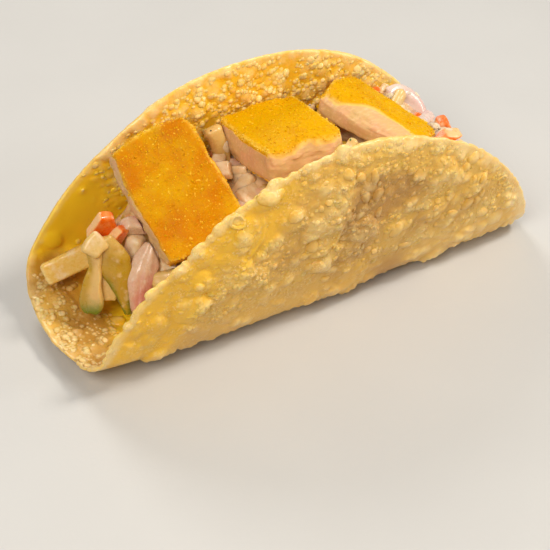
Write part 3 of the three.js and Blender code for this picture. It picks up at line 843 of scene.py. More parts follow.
def shell_fields(settings):
    """The fields of both faces, and how far the rim's bubbles push its line out."""
    stream = random_stream(SCATTERED_SEED)
    large = {side: solid_blisters(stream, limit) for side, limit in SCATTERED_LIMIT.items()}
    large[1] = [*FRONT_BLISTERS, *large[1]]
    random = np.random.default_rng(5)
    bubbles = rim_bubbles(random)
    outline = Relief()
    for bubble in bubbles:
        outline.raise_blister(*bubble, power=0.5)
    fields = {side: face_fields(random, settings, side, large[side], bubbles) for side in large}
    return fields, outline.height


# -------- meshes


def ring_start(ring):
    """Which point of a round grid is the first of a ring."""
    return 0 if ring == 0 else 1 + 3 * ring * (ring - 1)


def disc_triangles(rings):
    """Triangles of a round grid: ring k has 6k points, the middle one."""
    triangles = []
    for ring in range(1, rings + 1):
        step = np.arange(ring)
        for sector in range(6):
            outer = sector * ring + step
            inner = sector * (ring - 1) + step
            here = ring_start(ring)
            below = ring_start(ring - 1)
            below_count = max(6 * (ring - 1), 1)
            next_outer = here + (outer + 1) % (6 * ring)
            first = np.stack([here + outer, next_outer, below + inner % below_count], axis=1)
            rest = np.stack(
                [below + inner % below_count, next_outer, below + (inner + 1) % below_count], axis=1
            )
            triangles += [first, rest[: ring - 1]]
    return np.concatenate(triangles)


def disc_grid(rings):
    """How far out each point of a round grid lies, up to 1, and its turn."""
    reach = [np.zeros(1)]
    turn = [np.zeros(1)]
    for ring in range(1, rings + 1):
        reach.append(np.full(6 * ring, ring / rings))
        turn.append(np.arange(6 * ring) * 2 * math.pi / (6 * ring))
    return np.concatenate(reach), np.concatenate(turn)


def zip_rings(outer, inner):
    """Triangles between two closed rings of points that start at the same turn."""
    triangles = []
    i = j = 0
    while i < len(outer) or j < len(inner):
        if (i + 0.5) / len(outer) <= (j + 0.5) / len(inner):
            triangles.append((outer[i % len(outer)], outer[(i + 1) % len(outer)], inner[j % len(inner)]))
            i += 1
        else:
            triangles.append((outer[i % len(outer)], inner[(j + 1) % len(inner)], inner[j % len(inner)]))
            j += 1
    return np.array(triangles)


def block_grid(cells):
    """The surface of a block of cells: its lattice points, and squares that face out."""
    squares = []
    for axis in range(3):
        first, second = (axis + 1) % 3, (axis + 2) % 3
        a, b = np.meshgrid(np.arange(cells[first]), np.arange(cells[second]), indexing="ij")
        ring = [(0, 0), (1, 0), (1, 1), (0, 1)]
        for level, order in ((cells[axis], ring), (0, ring[::-1])):
            square = np.zeros((*a.shape, 4, 3), int)
            square[..., axis] = level
            for corner, (da, db) in enumerate(order):
                square[..., corner, first] = a + da
                square[..., corner, second] = b + db
            squares.append(square.reshape(-1, 3))
    points, index = np.unique(np.concatenate(squares), axis=0, return_inverse=True)
    return points, index.reshape(-1, 4)


def rounded_block(size, step, radius):
    """A block with round edges about its own middle: points, squares and directions out."""
    half = np.array(size, float) / 2
    cells = np.maximum(2, np.round(2 * half / step)).astype(int)
    lattice, squares = block_grid(cells)
    points = (lattice / cells * 2 - 1) * half
    core = half - min(radius, 0.98 * half.min())
    nearest = np.clip(points, -core, core)
    outward = unit(points - nearest)
    return nearest + outward * (half - core), squares, outward


def loft(rings):
    """Joins rings of equally many points into a tube with a fan at each end."""
    steps, count = rings.shape[:2]
    index = np.arange(steps * count).reshape(steps, count)
    a, b = index[:-1], np.roll(index, -1, axis=1)[:-1]
    c, d = np.roll(index, -1, axis=1)[1:], index[1:]
    faces = [list(square) for square in np.stack([a, b, c, d], axis=-1).reshape(-1, 4)]
    points = [rings.reshape(-1, 3), rings[:1].mean(axis=1), rings[-1:].mean(axis=1)]
    for middle, ring, flip in ((steps * count, index[0], True), (steps * count + 1, index[-1], False)):
        for start, end in zip(ring, np.roll(ring, -1)):
            faces.append([end, start, middle] if flip else [start, end, middle])
    return np.concatenate(points), faces


def triangles_of(faces):
    """Splits squares into triangles, as a smear's ends are triangles already."""
    split = []
    for face in faces:
        split += [face] if len(face) == 3 else [face[:3], [face[0], face[2], face[3]]]
    return split


class Batch:
    """Collects pieces made of one thing, to become one mesh."""

    def __init__(self):
        self.points, self.faces, self.values = [], [], {}
        self.count = 0

    def add(self, points, faces, **values):
        self.points.append(points)
        self.faces.append(np.asarray(faces) + self.count)
        for name, value in values.items():
            spread = value if np.ndim(value) else np.full(len(points), value)
            self.values.setdefault(name, []).append(spread)
        self.count += len(points)

    def joined(self):
        values = {name: np.concatenate(parts) for name, parts in self.values.items()}
        return np.concatenate(self.points), np.concatenate(self.faces), values


def add_object(name, data):
    thing = bpy.data.objects.new(name, data)
    bpy.context.scene.collection.objects.link(thing)
    return thing


def add_piece(name, points, faces, material, stands_for=None, values=None, smooth=True):
    """Makes one piece of the taco from points in the fold's frame."""
    mesh = bpy.data.meshes.new(name)
    mesh.from_pydata((np.asarray(points) + FOLD_TO_PART) / MM_PER_M, [], faces)
    for key, value in (values or {}).items():
        is_vector = np.ndim(value) == 2
        attribute = mesh.attributes.new(key, "FLOAT_VECTOR" if is_vector else "FLOAT", "POINT")
        attribute.data.foreach_set("vector" if is_vector else "value", np.ravel(value).astype(np.float32))
    mesh.validate()
    mesh.polygons.foreach_set("use_smooth", np.full(len(mesh.polygons), smooth))
    mesh.materials.append(material)
    mesh.update()
    piece = add_object(name, mesh)
    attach(piece, "root")
    if stands_for:
        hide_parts(stands_for)
    return piece


# -------- finishes


class Finish:
    """A material being made: its nodes, and short names for the ones used most."""

    def __init__(self, name):
        self.material = bpy.data.materials.new(name)
        self.material.use_nodes = True
        self.tree = self.material.node_tree
        self.shader = self.tree.nodes["Principled BSDF"]
        self.place = self.node("ShaderNodeTexCoord").outputs["Object"]

    def node(self, kind, inputs=None, **settings):
        node = self.tree.nodes.new(kind)
        for name, value in settings.items():
            setattr(node, name, value)
        for name, value in (inputs or {}).items():
            self.put(node.inputs[name], value)
        return node

    def put(self, socket, value):
        if isinstance(value, bpy.types.NodeSocket):
            self.tree.links.new(value, socket)
        elif socket.type == "RGBA" and len(value) == 3:
            socket.default_value = (*value, 1)
        else:
            socket.default_value = value

    def surface(self, **inputs):
        """Sets the shader's inputs: words of a name are joined by underscores."""
        for name, value in inputs.items():
            socket = name.replace("_", " ").title().replace("Ior", "IOR")
            self.put(self.shader.inputs[socket], value)

    def glow(self, weight, radius, depth_mm):
        """Light that enters and leaves again: how much, how far by colour, and how deep."""
        depth = depth_mm / MM_PER_M
        self.surface(subsurface_weight=weight, subsurface_radius=radius, subsurface_scale=depth)

    def coat(self, weight, roughness):
        self.surface(coat_weight=weight, coat_roughness=roughness)

    def value(self, name):
        return self.node("ShaderNodeAttribute", attribute_name=name).outputs["Fac"]

    def local(self):
        """Where a point is in its own piece: along, across and through it, from -1 to 1."""
        vector = self.node("ShaderNodeAttribute", attribute_name="local").outputs["Vector"]
        return self.node("ShaderNodeSeparateXYZ", {"Vector": vector}).outputs

    def noise(self, size_mm, detail=3.0, rough=0.55, place=None):
        inputs = {
            "Vector": place or self.place,
            "Scale": MM_PER_M / size_mm,
            "Detail": detail,
            "Roughness": rough,
        }
        return self.node("ShaderNodeTexNoise", inputs).outputs["Fac"]

    def grain(self, size_mm):
        """Packed round domes: 1 on top of each and 0 in the gaps between them."""
        inputs = {"Vector": self.place, "Scale": MM_PER_M / size_mm}
        distance = self.node("ShaderNodeTexVoronoi", inputs, feature="F1").outputs["Distance"]
        return self.fit(distance, 0.72, 0.06)

    def fit(self, value, low, high, to_low=0.0, to_high=1.0):
        """Takes a value from one range softly to another."""
        inputs = {"Value": value, "From Min": low, "From Max": high, "To Min": to_low, "To Max": to_high}
        node = self.node("ShaderNodeMapRange", inputs, interpolation_type="SMOOTHSTEP")
        return node.outputs["Result"]

    def math(self, operation, a, b=0.0):
        node = self.node("ShaderNodeMath", operation=operation)
        self.put(node.inputs[0], a)
        self.put(node.inputs[1], b)
        return node.outputs[0]

    def plus(self, value, other, factor):
        """A value with some of another one added."""
        return self.math("ADD", value, self.math("MULTIPLY", other, factor))

    def mix(self, share, a, b):
        node = self.node("ShaderNodeMix", data_type="RGBA")
        for socket, value in ((node.inputs[0], share), (node.inputs[6], a), (node.inputs[7], b)):
            self.put(socket, value)
        return node.outputs[2]

    def over(self, colour, other, value, low, high, most=1.0):
        """A colour that gives way to another, up to a share, as a value goes from low to high."""
        return self.mix(self.fit(value, low, high, 0.0, most), colour, other)

    def stretched(self, *scale):
        """Places drawn out along an axis where its scale is below 1."""
        inputs = {"Vector": self.place, "Scale": scale}
        return self.node("ShaderNodeMapping", inputs).outputs["Vector"]

    def bump(self, height, depth_mm, under=None):
        inputs = {"Height": height, "Distance": depth_mm / MM_PER_M, "Strength": 1.0}
        if under:
            inputs["Normal"] = under
        return self.node("ShaderNodeBump", inputs).outputs["Normal"]


def shell_finish(settings, name, glow_mm):
    """Fried dough: pale on its blisters and rim, partly as painted highlight, golden where smooth, and
    brown in its hollows, partly as painted shade.
    """
    f = Finish(name)
    grain_mm = settings.grain * MM_PER_M
    mottle = f.noise(7, 4, 0.6)
    fine_mottle = f.noise(1.6, 3, 0.6)
    smooth = f.value("golden")
    colour = f.over(settings.crisp, settings.golden, f.plus(smooth, mottle, 0.5), 0.35, 1.05)
    # Smooth places inside take the brighter inside colour, partly painted light.
    colour = f.over(colour, settings.inside, smooth, 1.0, 1.5)
    # Browner places: partly the dough's own colour and partly painted shade in hollows and at the inside's
    # deep end.
    brown = f.plus(f.value("brown"), mottle, 0.6)
    colour = f.over(colour, settings.browned_and_shaded, brown, 0.4, 1.5, 0.8)
    # Paler on puffed places and the rim: partly their own colour and partly painted highlight.
    pale = f.plus(f.value("puff"), fine_mottle, 0.5)
    colour = f.over(colour, settings.pale, pale, 0.4, 1.5, 0.75)
    sandy = f.math("MULTIPLY", f.value("sand"), f.fit(f.noise(6, 2), 0.3, 0.6, 0.5, 1.0))
    grain = f.math("MULTIPLY", f.grain(grain_mm), sandy)
    # The tops of the sandy grains are painted pale: partly their own colour and partly painted highlight.
    colour = f.over(colour, settings.pale, grain, 0.45, 1.0, 0.34)
    # The tops of the finest grains are painted near-white in clusters, as glints.
    clusters = f.math("MULTIPLY", sandy, f.fit(f.noise(2.6, 2), 0.35, 0.62, 0.35, 1.0))
    fine = f.math("MULTIPLY", f.grain(0.5 * grain_mm), clusters)
    colour = f.over(colour, shade("painted grain glint"), fine, 0.5, 0.95, 0.42)
    # The gaps between the finest grains are painted darker, as shade.
    gaps = f.math("SUBTRACT", clusters, fine)
    colour = f.over(colour, settings.browned_and_shaded, gaps, 0.45, 1.0, 0.2)
    colour = f.over(colour, shade("burnt speck"), f.noise(2.3, 1, 0.4), 0.78, 0.83, 0.5)
    domes = f.bump(grain, 0.1)
    skin = f.bump(fine, 0.07, domes)
    f.surface(
        base_color=colour,
        roughness=f.fit(f.math("ADD", mottle, f.value("puff")), 0.3, 1.6, 0.42, 0.3),
        normal=skin,
        specular_ior_level=0.42,
    )
    f.glow(0.32, (1.0, 0.55, 0.14), glow_mm)
    f.coat(0.12, 0.14)
    return f.material


def chicken_finish(settings):
    """Breading over pale meat, told apart by how much crust covers each point."""
    f = Finish("breaded_chicken")
    crumb_mm = settings.crumb * MM_PER_M
    cover = f.value("crust")
    crust_share = f.fit(cover, 0.3, 0.75)
    # Toasted places, partly painted shade on the first slice.
    toast = f.plus(f.value("toast"), f.noise(4.5, 4, 0.65), 0.9)
    crust = f.over(settings.crust, settings.toasted, toast, 0.35, 1.25)
    grain = f.math("MULTIPLY", f.grain(crumb_mm), f.fit(f.noise(2.2, 3), 0.3, 0.65, 0.5, 1.0))
    crust = f.over(crust, settings.crumb_light, grain, 0.4, 1.0, 0.35)
    crust = f.over(crust, settings.toasted, f.noise(1.3, 3, 0.6), 0.56, 0.75, 0.3)
    # Sparse tiny glints painted on the crust.
    crust = f.over(crust, shade("painted crumb glint"), f.noise(0.9, 1, 0.4), 0.68, 0.74, 0.6)
    edge = f.math("MULTIPLY", f.value("edge"), f.fit(f.noise(1.4, 3), 0.35, 0.6, 0.0, 0.75))
    crust = f.mix(edge, crust, shade("worn edge"))
    meat = f.over(settings.meat, settings.meat_pink, f.noise(5, 3, 0.5), 0.35, 0.7)
    fibres = f.noise(1.1, 3, 0.6, f.stretched(0.35, 1.4, 1.4))
    meat = f.over(meat, shade("meat fibre"), fibres, 0.45, 0.75, 0.35)
    lip = f.math("MULTIPLY", f.fit(cover, 0.02, 0.3), f.fit(cover, 0.95, 0.5))
    colour = f.mix(f.math("MULTIPLY", lip, 0.7), f.mix(crust_share, meat, crust), shade("crust lip"))
    normal = f.node("ShaderNodeMix", data_type="VECTOR")
    f.put(normal.inputs[0], crust_share)
    f.put(normal.inputs[4], f.bump(fibres, 0.08))
    f.put(normal.inputs[5], f.bump(f.noise(0.5, 3, 0.6), 0.04, f.bump(grain, 0.09)))
    f.surface(
        base_color=colour,
        roughness=f.fit(crust_share, 0, 1, 0.36, 0.4),
        normal=normal.outputs[1],
        specular_ior_level=0.06,
    )
    f.glow(0.2, (1.0, 0.45, 0.12), 1.2)
    return f.material


def crumb_finish(settings):
    """Separate crumbs, each with its own heat."""
    f = Finish("crust_crumb")
    tint = f.value("tint")
    colour = f.over(settings.crust, settings.crumb_light, tint, 0.35, 1.0)
    colour = f.over(colour, settings.toasted, tint, 0.25, 0.0, 0.5)
    colour = f.over(colour, shade("palest crumb"), tint, 0.95, 1.3, 0.7)
    f.surface(
        base_color=colour,
        roughness=f.fit(f.noise(0.6), 0.3, 0.7, 0.35, 0.6),
        normal=f.bump(f.noise(0.25, 2), 0.05),
        specular_ior_level=0.1,
    )
    f.glow(0.2, (1.0, 0.5, 0.15), 1)
    return f.material


def dressed(f, settings, colour, amount):
    """Finishes a salad piece: its own colour under an uneven coat of dressing."""
    coat = f.plus(f.noise(4.2, 3, 0.6), f.value("tint"), 0.16)
    film = f.bump(f.noise(2.2, 2, 0.4), 0.22)
    f.surface(
        base_color=f.over(
            colour, settings.dressing, coat, 0.74 - 0.42 * amount, 0.9 - 0.2 * amount, 0.7
        ),
        roughness=f.fit(f.noise(1.4, 2), 0.3, 0.7, 0.22, 0.44),
        normal=f.bump(f.noise(0.5, 2, 0.5), 0.04, film),
    )
    f.glow(0.28, (1.0, 0.6, 0.4), 3)
    f.coat(0.2, 0.16)
    return f.material


def stick_finish(settings):
    """Pale and fibrous, and paler still at its cut ends."""
    f = Finish("root_stick")
    fibres = f.noise(0.8, 2, 0.5, f.stretched(0.3, 1, 1))
    colour = f.over(settings.stick, shade("stick fibre"), fibres, 0.4, 0.75, 0.3)
    colour = f.over(colour, shade("stick end"), f.math("ABSOLUTE", f.local()["X"]), 0.86, 1.0, 0.4)
    return dressed(f, settings, colour, 0.22)


def rib_finish(settings):
    """Cream where the rib was folded or cut, yellow along it, and green at its tip and one edge."""
    f = Finish("leaf_rib")
    parts = f.local()
    along = f.plus(parts["X"], f.noise(3.5, 3), 0.8)
    tip = f.fit(f.plus(along, f.math("ABSOLUTE", parts["Y"]), 0.35), 1.0, 1.6)
    seam = f.math("MULTIPLY", f.fit(parts["Y"], -0.35, -0.85), f.fit(parts["X"], -0.3, 0.3, 0.0, 0.75))
    colour = f.mix(f.fit(along, -0.5, 0.1, 0.6, 0.0), settings.rib_pale, settings.pith)
    colour = f.mix(f.math("MAXIMUM", tip, seam), colour, settings.rib_green)
    colour = f.over(colour, settings.pith, f.math("ADD", parts["Z"], f.noise(3, 2)), 0.2, -0.6, 0.6)
    return dressed(f, settings, colour, 0.12)


def stalk_finish(settings):
    """Cream, with one yellow-green edge and a green tip."""
    f = Finish("leaf_stalk")
    parts = f.local()
    blotch = f.math("MULTIPLY", f.noise(3, 3), 0.5)
    colour = f.over(settings.pith, settings.rib_pale, f.math("ADD", parts["Y"], blotch), 0.5, -0.35)
    colour = f.over(colour, settings.rib_green, f.math("ADD", parts["X"], blotch), 0.75, 1.25)
    return dressed(f, settings, colour, 0.12)


def pith_finish(settings):
    """Pale, with duller patches."""
    f = Finish("pale_pith")
    colour = f.over(settings.pith, shade("pith shade"), f.noise(3.4, 3), 0.35, 0.7, 0.7)
    return dressed(f, settings, colour, 0.34)


def onion_finish(settings):
    """White with fine veins, pink towards one edge and one end, and duller at the taco's right."""
    f = Finish("onion_strip")
    parts = f.local()
    edge = f.plus(f.math("MULTIPLY", parts["Y"], 0.45), parts["X"], 0.85)
    edge = f.plus(edge, f.noise(3.2, 3), 1.1)
    veins = f.noise(0.7, 2, 0.5, f.stretched(1, 1, 0.25))
    colour = f.over(settings.onion_white, settings.onion_pink, edge, 0.4, 1.4, 0.95)
    colour = f.over(colour, shade("onion vein"), veins, 0.5, 0.8, 0.3)
    right = f.node("ShaderNodeSeparateXYZ", {"Vector": f.place}).outputs["X"]
    colour = f.over(colour, shade("shaded onion"), right, 0.042, 0.048, 0.7)
    return dressed(f, settings, colour, 0.2)


def tomato_finish(settings):
    """Orange-red, with a cream edge where the wall of the fruit was cut."""
    f = Finish("tomato_cut")
    parts = f.local()
    flesh = f.over(settings.tomato, settings.tomato_flesh, f.noise(2.6, 3), 0.4, 0.7)
    edge = f.plus(f.math("MULTIPLY", parts["X"], -1.0), f.noise(2.5, 2), 0.4)
    return dressed(f, settings, f.over(flesh, shade("tomato rim"), edge, 0.95, 1.2, 0.8), 0.12)


def cube_finish(settings):
    """White, lighter in patches."""
    f = Finish("white_cube")
    colour = f.over(settings.cube, shade("cube light"), f.noise(2.8, 3), 0.4, 0.75, 0.6)
    return dressed(f, settings, colour, 0.3)


def core_finish(settings):
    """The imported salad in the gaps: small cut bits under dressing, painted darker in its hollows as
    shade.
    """
    f = Finish("packed_salad")
    bit = f.value("bit")
    colour = f.over(shade("packed bits"), settings.cube, bit, -0.3, 0.1)
    colour = f.over(colour, settings.rib_pale, bit, 0.35, 0.5)
    colour = f.over(colour, settings.tomato_flesh, bit, 0.75, 0.85)
    # Hollows between the lumps painted darker, as shade.
    colour = f.over(colour, shade("painted hollow shade"), f.value("hollow"), 0.0, 0.8, 0.55)
    return dressed(f, settings, colour, 0.62)


def dressing_finish(settings):
    """Cream, smooth and glossy."""
    f = Finish("dressing")
    f.surface(
        base_color=f.over(settings.dressing, shade("dressing light"), f.noise(3), 0.4, 0.7, 0.4),
        roughness=f.fit(f.noise(1.2), 0.3, 0.7, 0.26, 0.4),
        normal=f.bump(f.noise(1.0, 2), 0.06),
    )
    f.glow(0.35, (1.0, 0.75, 0.5), 3)
    f.coat(0.15, 0.16)
    return f.material


def speck_finish():
    """Herb, pepper and chilli flecks, told apart by their tint."""
    f = Finish("fleck")
    tint = f.value("tint")
    colour = f.over(shade("herb"), shade("pepper"), tint, 0.45, 0.5)
    colour = f.over(colour, shade("chilli"), tint, 0.88, 0.9)
    f.surface(base_color=colour, roughness=f.fit(f.noise(0.5), 0.3, 0.7, 0.35, 0.55))
    return f.material


# -------- the shell

def rim_pale_start(u):
    """How far out the pale band along the rim starts, as it is broader towards the right. The band is
    partly the thin rim's own colour and partly painted highlight.
    """
    return 0.955 - 0.035 * smoothstep(u, -10, 15)


def golden_share(u, v, reach, side):
    """Where the sheet is smooth, oily and more golden."""
    if side < 0:
        # The brighter smooth colour gives way near the top and, as painted shade, at the left end.
        return np.clip(1.5 - 0.55 * smoothstep(v, 46, 68) - 1.3 * inner_end(u, v), 0, 1.5)
    left = smoothstep(-u, 8, 30) * smoothstep(-v, 0, 20) * smoothstep(reach, 0.66, 0.84)
    return np.clip(left + 0.25 * smoothstep(reach, 0.8, 0.95), 0, 1)


def sand_share(u, v, side):
    """Where the face is rough with the finest grains."""
    if side < 0:
        return 0.1 + 0.5 * inner_end(u, v) + 0.35 * smoothstep(v, 48, 62)
    return 1.0 - 0.3 * smoothstep(u, -8, 26)


def face_offset(fields, u, v, reach, side, share=1.0, level="height"):
    """How far one face of the fried sheet lies from the section's line, out of the trough."""
    half = (THICKNESS + (RIM_THICKNESS - THICKNESS) * reach**6) / 2
    height = (1 - 0.35 * smoothstep(reach, 0.93, 1)) * sample(fields[side][level], u, v)
    middle = OUTER_SHARE - THICKNESS / 2 + rim_wave(u, v, reach)
    sink = BLISTER_SINK[side]
    if side > 0:
        sink = sink + 0.6 * np.exp(-(((v + 30) / 14) ** 2)) * smoothstep(-u, -5, 15)
    return middle + side * share * np.maximum(half + height - sink, 0.45)


def shell_surface(fields, u, v, reach, side, share=1.0):
    """Points on one face of the fried sheet, and what its finish needs to know there."""
    field = fields[side]
    away = face_offset(fields, u, v, reach, side, share)
    points = sheet_point(u, v) + away[:, None] * sheet_normal(u, v)
    settled = 0.12 * np.log1p(np.exp(np.clip((points[:, 2] - REST_LEVEL) / 0.12, -30, 30)))
    points[:, 2] = np.where(points[:, 2] < REST_LEVEL + 3, REST_LEVEL + settled, points[:, 2])
    values = {
        # The pale band along the rim is partly painted highlight.
        "puff": sample(field["puff"], u, v) + 0.6 * smoothstep(reach, rim_pale_start(u), 1.0),
        "brown": sample(field["brown"], u, v) - 0.5 * smoothstep(reach, 0.86, 1.0),
        "golden": golden_share(u, v, reach, side),
        "sand": sand_share(u, v, side),
    }
    return points, values


def build_shell(settings):
    """The fried sheet: both blistered faces in rings about the middle, joined by a round rim."""
    fields, outline = shell_fields(settings)
    rim_count = 6 * SHEET_RINGS[1]
    rim_turn = np.arange(rim_count) * 2 * math.pi / rim_count
    rim_u, rim_v = HALF_LENGTH * np.cos(rim_turn), GIRTH_CENTRE + HALF_GIRTH * np.sin(rim_turn)
    scallop = (sample(outline, rim_u, rim_v) + rim_shift(rim_u, rim_v)) / HALF_LENGTH
    parts, faces, rims = [], [], []
    start = 0

    def add_face(reach, turn, side, share):
        scalloped = np.interp(turn, rim_turn, scallop, period=2 * math.pi)
        stretched = reach + scalloped * smoothstep(reach, 0.94, 1)
        u = HALF_LENGTH * stretched * np.cos(turn)
        v = GIRTH_CENTRE + HALF_GIRTH * stretched * np.sin(turn)
        parts.append(shell_surface(fields, u, v, reach, side, share))
        return start + len(reach)

    for side, rings in SHEET_RINGS.items():
        reach, turn = disc_grid(rings)
        triangles = disc_triangles(rings) + start
        faces.append(triangles[:, ::-1] if side > 0 else triangles)
        rims.append(np.arange(6 * rings) + start + ring_start(rings))
        start = add_face(reach, turn, side, np.where(reach < 1, 1.0, 0.97))
    strips = [rims[0]]
    for step in range(1, RIM_STEPS + 1):
        angle = math.pi * (0.5 - step / (RIM_STEPS + 1))
        bulge = 0.42 * RIM_THICKNESS / HALF_LENGTH * math.cos(angle)
        side = 1 if math.sin(angle) >= -1e-9 else -1
        strips.append(np.arange(rim_count) + start)
        start = add_face(np.full(rim_count, 1 + bulge), rim_turn, side, abs(math.sin(angle)))
    for outer, inner in itertools.pairwise([*strips, rims[1]]):
        faces.append(zip_rings(outer, inner))
    points = np.concatenate([part[0] for part in parts])
    values = {key: np.concatenate([part[1][key] for part in parts]) for key in parts[0][1]}
    finish = shell_finish(settings, "fried_shell", SHEET_GLOW)
    small_finish = shell_finish(settings, "fried_blisters", BLISTER_GLOW)
    add_piece("fried_sheet", points, np.concatenate(faces), finish, "shell", values)
    build_clear_blisters(fields, small_finish)
    build_beads("shell_beads", settings.bead_blisters, 1, fields, small_finish)
    build_beads("inner_beads", settings.inner_beads, -1, fields, small_finish)


def clear_blister(fields, side, blister, wobble):
    """A round dome with a clear edge, or a popped one's ring, sunk into the sheet under it."""
    u, v, half_length, half_width, heading, height, popped = blister
    turn = np.arange(CLEAR_SIDES) * 2 * math.pi / CLEAR_SIDES
    share = np.linspace(1, 0.12, CLEAR_RINGS)[:, None]
    edge = 1 + 0.1 * np.sin(2 * turn + wobble) + 0.06 * np.sin(3 * turn - wobble)
    long = half_length * share * edge * np.cos(turn)
    wide = half_width * share * edge * np.sin(turn)
    ahead = math.radians(heading)
    at_u = (u + long * math.cos(ahead) - wide * math.sin(ahead)).ravel()
    at_v = (v + long * math.sin(ahead) + wide * math.cos(ahead)).ravel()
    reach = np.minimum(np.hypot(at_u / HALF_LENGTH, (at_v - GIRTH_CENTRE) / HALF_GIRTH), 1)
    _, values = shell_surface(fields, at_u, at_v, reach, side)
    normal = sheet_normal(at_u, at_v)
    away = face_offset(fields, at_u, at_v, reach, side, level="ground")
    points = sheet_point(at_u, at_v) + away[:, None] * normal
    share = np.repeat(share.ravel(), CLEAR_SIDES)
    rise = (1 - share**2) ** 0.8
    if popped:
        rise = np.exp(-(((share - 0.72) / 0.22) ** 2)) - 0.15
    points = points + (side * (height * rise - CLEAR_EDGE_DEPTH))[:, None] * normal
    points[:, 2] = np.maximum(points[:, 2], REST_LEVEL)
    # Domes painted paler as they rise, partly as highlight.
    values["puff"] = 0.7 * values["puff"] + 0.5 * np.maximum(rise, 0)
    rings = points.reshape(CLEAR_RINGS, CLEAR_SIDES, 3)
    sunk = rings[:1] - CLEAR_FOOT * side * normal.reshape(rings.shape)[:1]
    placed, faces = loft(np.concatenate([sunk, rings]))
    for key, part in values.items():
        values[key] = np.concatenate([part[:CLEAR_SIDES], part, part[:1], part[-1:]])
    triangles = np.array(triangles_of(faces))
    return placed, triangles if side < 0 else triangles[:, ::-1], values


def place_on_sheet(random, limit):
    """A random place on the flat sheet: u, v and how far out it lies, up to the root of a limit."""
    angle, reach = random.uniform(0, 2 * math.pi), math.sqrt(random.uniform(0.02, limit))
    return *flat_place(reach, angle), reach


def build_clear_blisters(fields, finish):
    """The blisters that stand out from the rest by a clear edge: named ones, then loose ones."""
    random = np.random.default_rng(53)
    blisters = Batch()
    for side, *blister in CLEAR_BLISTERS:
        placed, faces, values = clear_blister(fields, side, blister, random.uniform(0, 6))
        blisters.add(placed, faces, **values)
    for side, count in LOOSE_CLEAR_BLISTERS.items():
        while count > 0:
            u, v, _ = place_on_sheet(random, 0.88)
            on_fold = side > 0 and FRONT_FOLD[0] < v < FRONT_FOLD[1]
            if on_fold or random.uniform() > CROWDING[side](u, v) ** 2:
                continue
            count -= 1
            size = 0.75 + 1.4 * random.uniform() ** 2.5
            slim, heading, wobble = random.uniform(0.65, 1), random.uniform(0, 180), random.uniform(0, 6)
            height = size * random.uniform(*CLEAR_RISE[side])
            blister = (u, v, size, slim * size, heading, height, random.uniform() < POPPED_SHARE)
            placed, faces, values = clear_blister(fields, side, blister, wobble)
            blisters.add(placed, faces, **values)
    points, faces, values = blisters.joined()
    add_piece("shell_blisters", points, faces, finish, values=values)


def relief_normal(fields, u, v, reach, side):
    """The direction out of one face of the sheet, with its blisters."""
    step = 0.35
    ahead, behind = (shell_surface(fields, u + d, v, reach, side)[0] for d in (step, -step))
    after, before = (shell_surface(fields, u, v + d, reach, side)[0] for d in (step, -step))
    return side * unit(np.cross(after - before, ahead - behind))


def bead_places(random, count, side):
    """Random places for beads, in clusters and where the face is crowded: u, v and reach."""
    clusters = soft_field(random, 7)
    spots = []
    while len(spots) < count:
        u, v, reach = place_on_sheet(random, 0.97)
        crowd = CROWDING[side](u, v) ** 2 * (0.6 + 0.35 * sample(clusters, u, v))
        if side > 0 and v > FRONT_FOLD[0]:
            crowd *= 0.35 if v > FRONT_FOLD[1] else 0.0
        if random.uniform() < crowd:
            spots.append((u, v, reach))
    return np.array(spots).T


def build_beads(name, count, side, fields, finish):
    """The crisp round blisters about 1 to 2 mm across, each a low dome with its foot in the sheet."""
    random = np.random.default_rng(42 - side)
    turn = np.arange(BEAD_SIDES) * 2 * math.pi / BEAD_SIDES
    rings = [[(r * math.cos(t), r * math.sin(t), level) for t in turn] for r, level in BEAD_SECTION]
    dome, faces = loft(np.array(rings))
    dome[-1, 2] = 1.0
    triangles = np.array(triangles_of(faces))
    u, v, reach = bead_places(random, count, side)
    centre, values = shell_surface(fields, u, v, reach, side)
    low, high = BEAD_RADIUS[side]
    radius = low + (high - low) * random.uniform(size=count) ** 2.5
    normal = relief_normal(fields, u, v, reach, side)
    first = unit(np.cross(normal, np.array([1.0, 0.2, 0.1])))
    second = np.cross(normal, first)
    wide = (radius * random.uniform(0.85, 1.2, count))[:, None, None]
    deep = (radius * random.uniform(0.85, 1.2, count))[:, None, None]
    tall = (radius * random.uniform(*BEAD_HEIGHT[side], count))[:, None, None]
    points = (
        centre[:, None]
        + wide * dome[None, :, :1] * first[:, None]
        + deep * dome[None, :, 1:2] * second[:, None]
        + tall * dome[None, :, 2:] * normal[:, None]
    ).reshape(-1, 3)
    points[:, 2] = np.maximum(points[:, 2], REST_LEVEL)
    each = len(dome)
    faces = (triangles[None] + each * np.arange(count)[:, None, None]).reshape(-1, 3)
    tints = {key: np.repeat(value, each) for key, value in values.items()}
    # Bead tops painted paler, partly as highlight.
    height_share = np.tile(np.clip(dome[:, 2], 0, 1), count)
    tints["puff"] = height_share * BEAD_TOP_PALE[side] + 0.8 * tints["puff"]
    add_piece(name, points, faces, finish, values=tints)


# -------- the chicken


def in_slice(chicken, points):
    """Points in a slice's own directions, from its middle."""
    return (points - chicken["at"]) @ turning(chicken["turn"])


def depth_in(chicken, local, axis, sign):
    """How far points lie in from one side of a slice."""
    return chicken["size"][axis] / 2 - sign * local[:, axis]


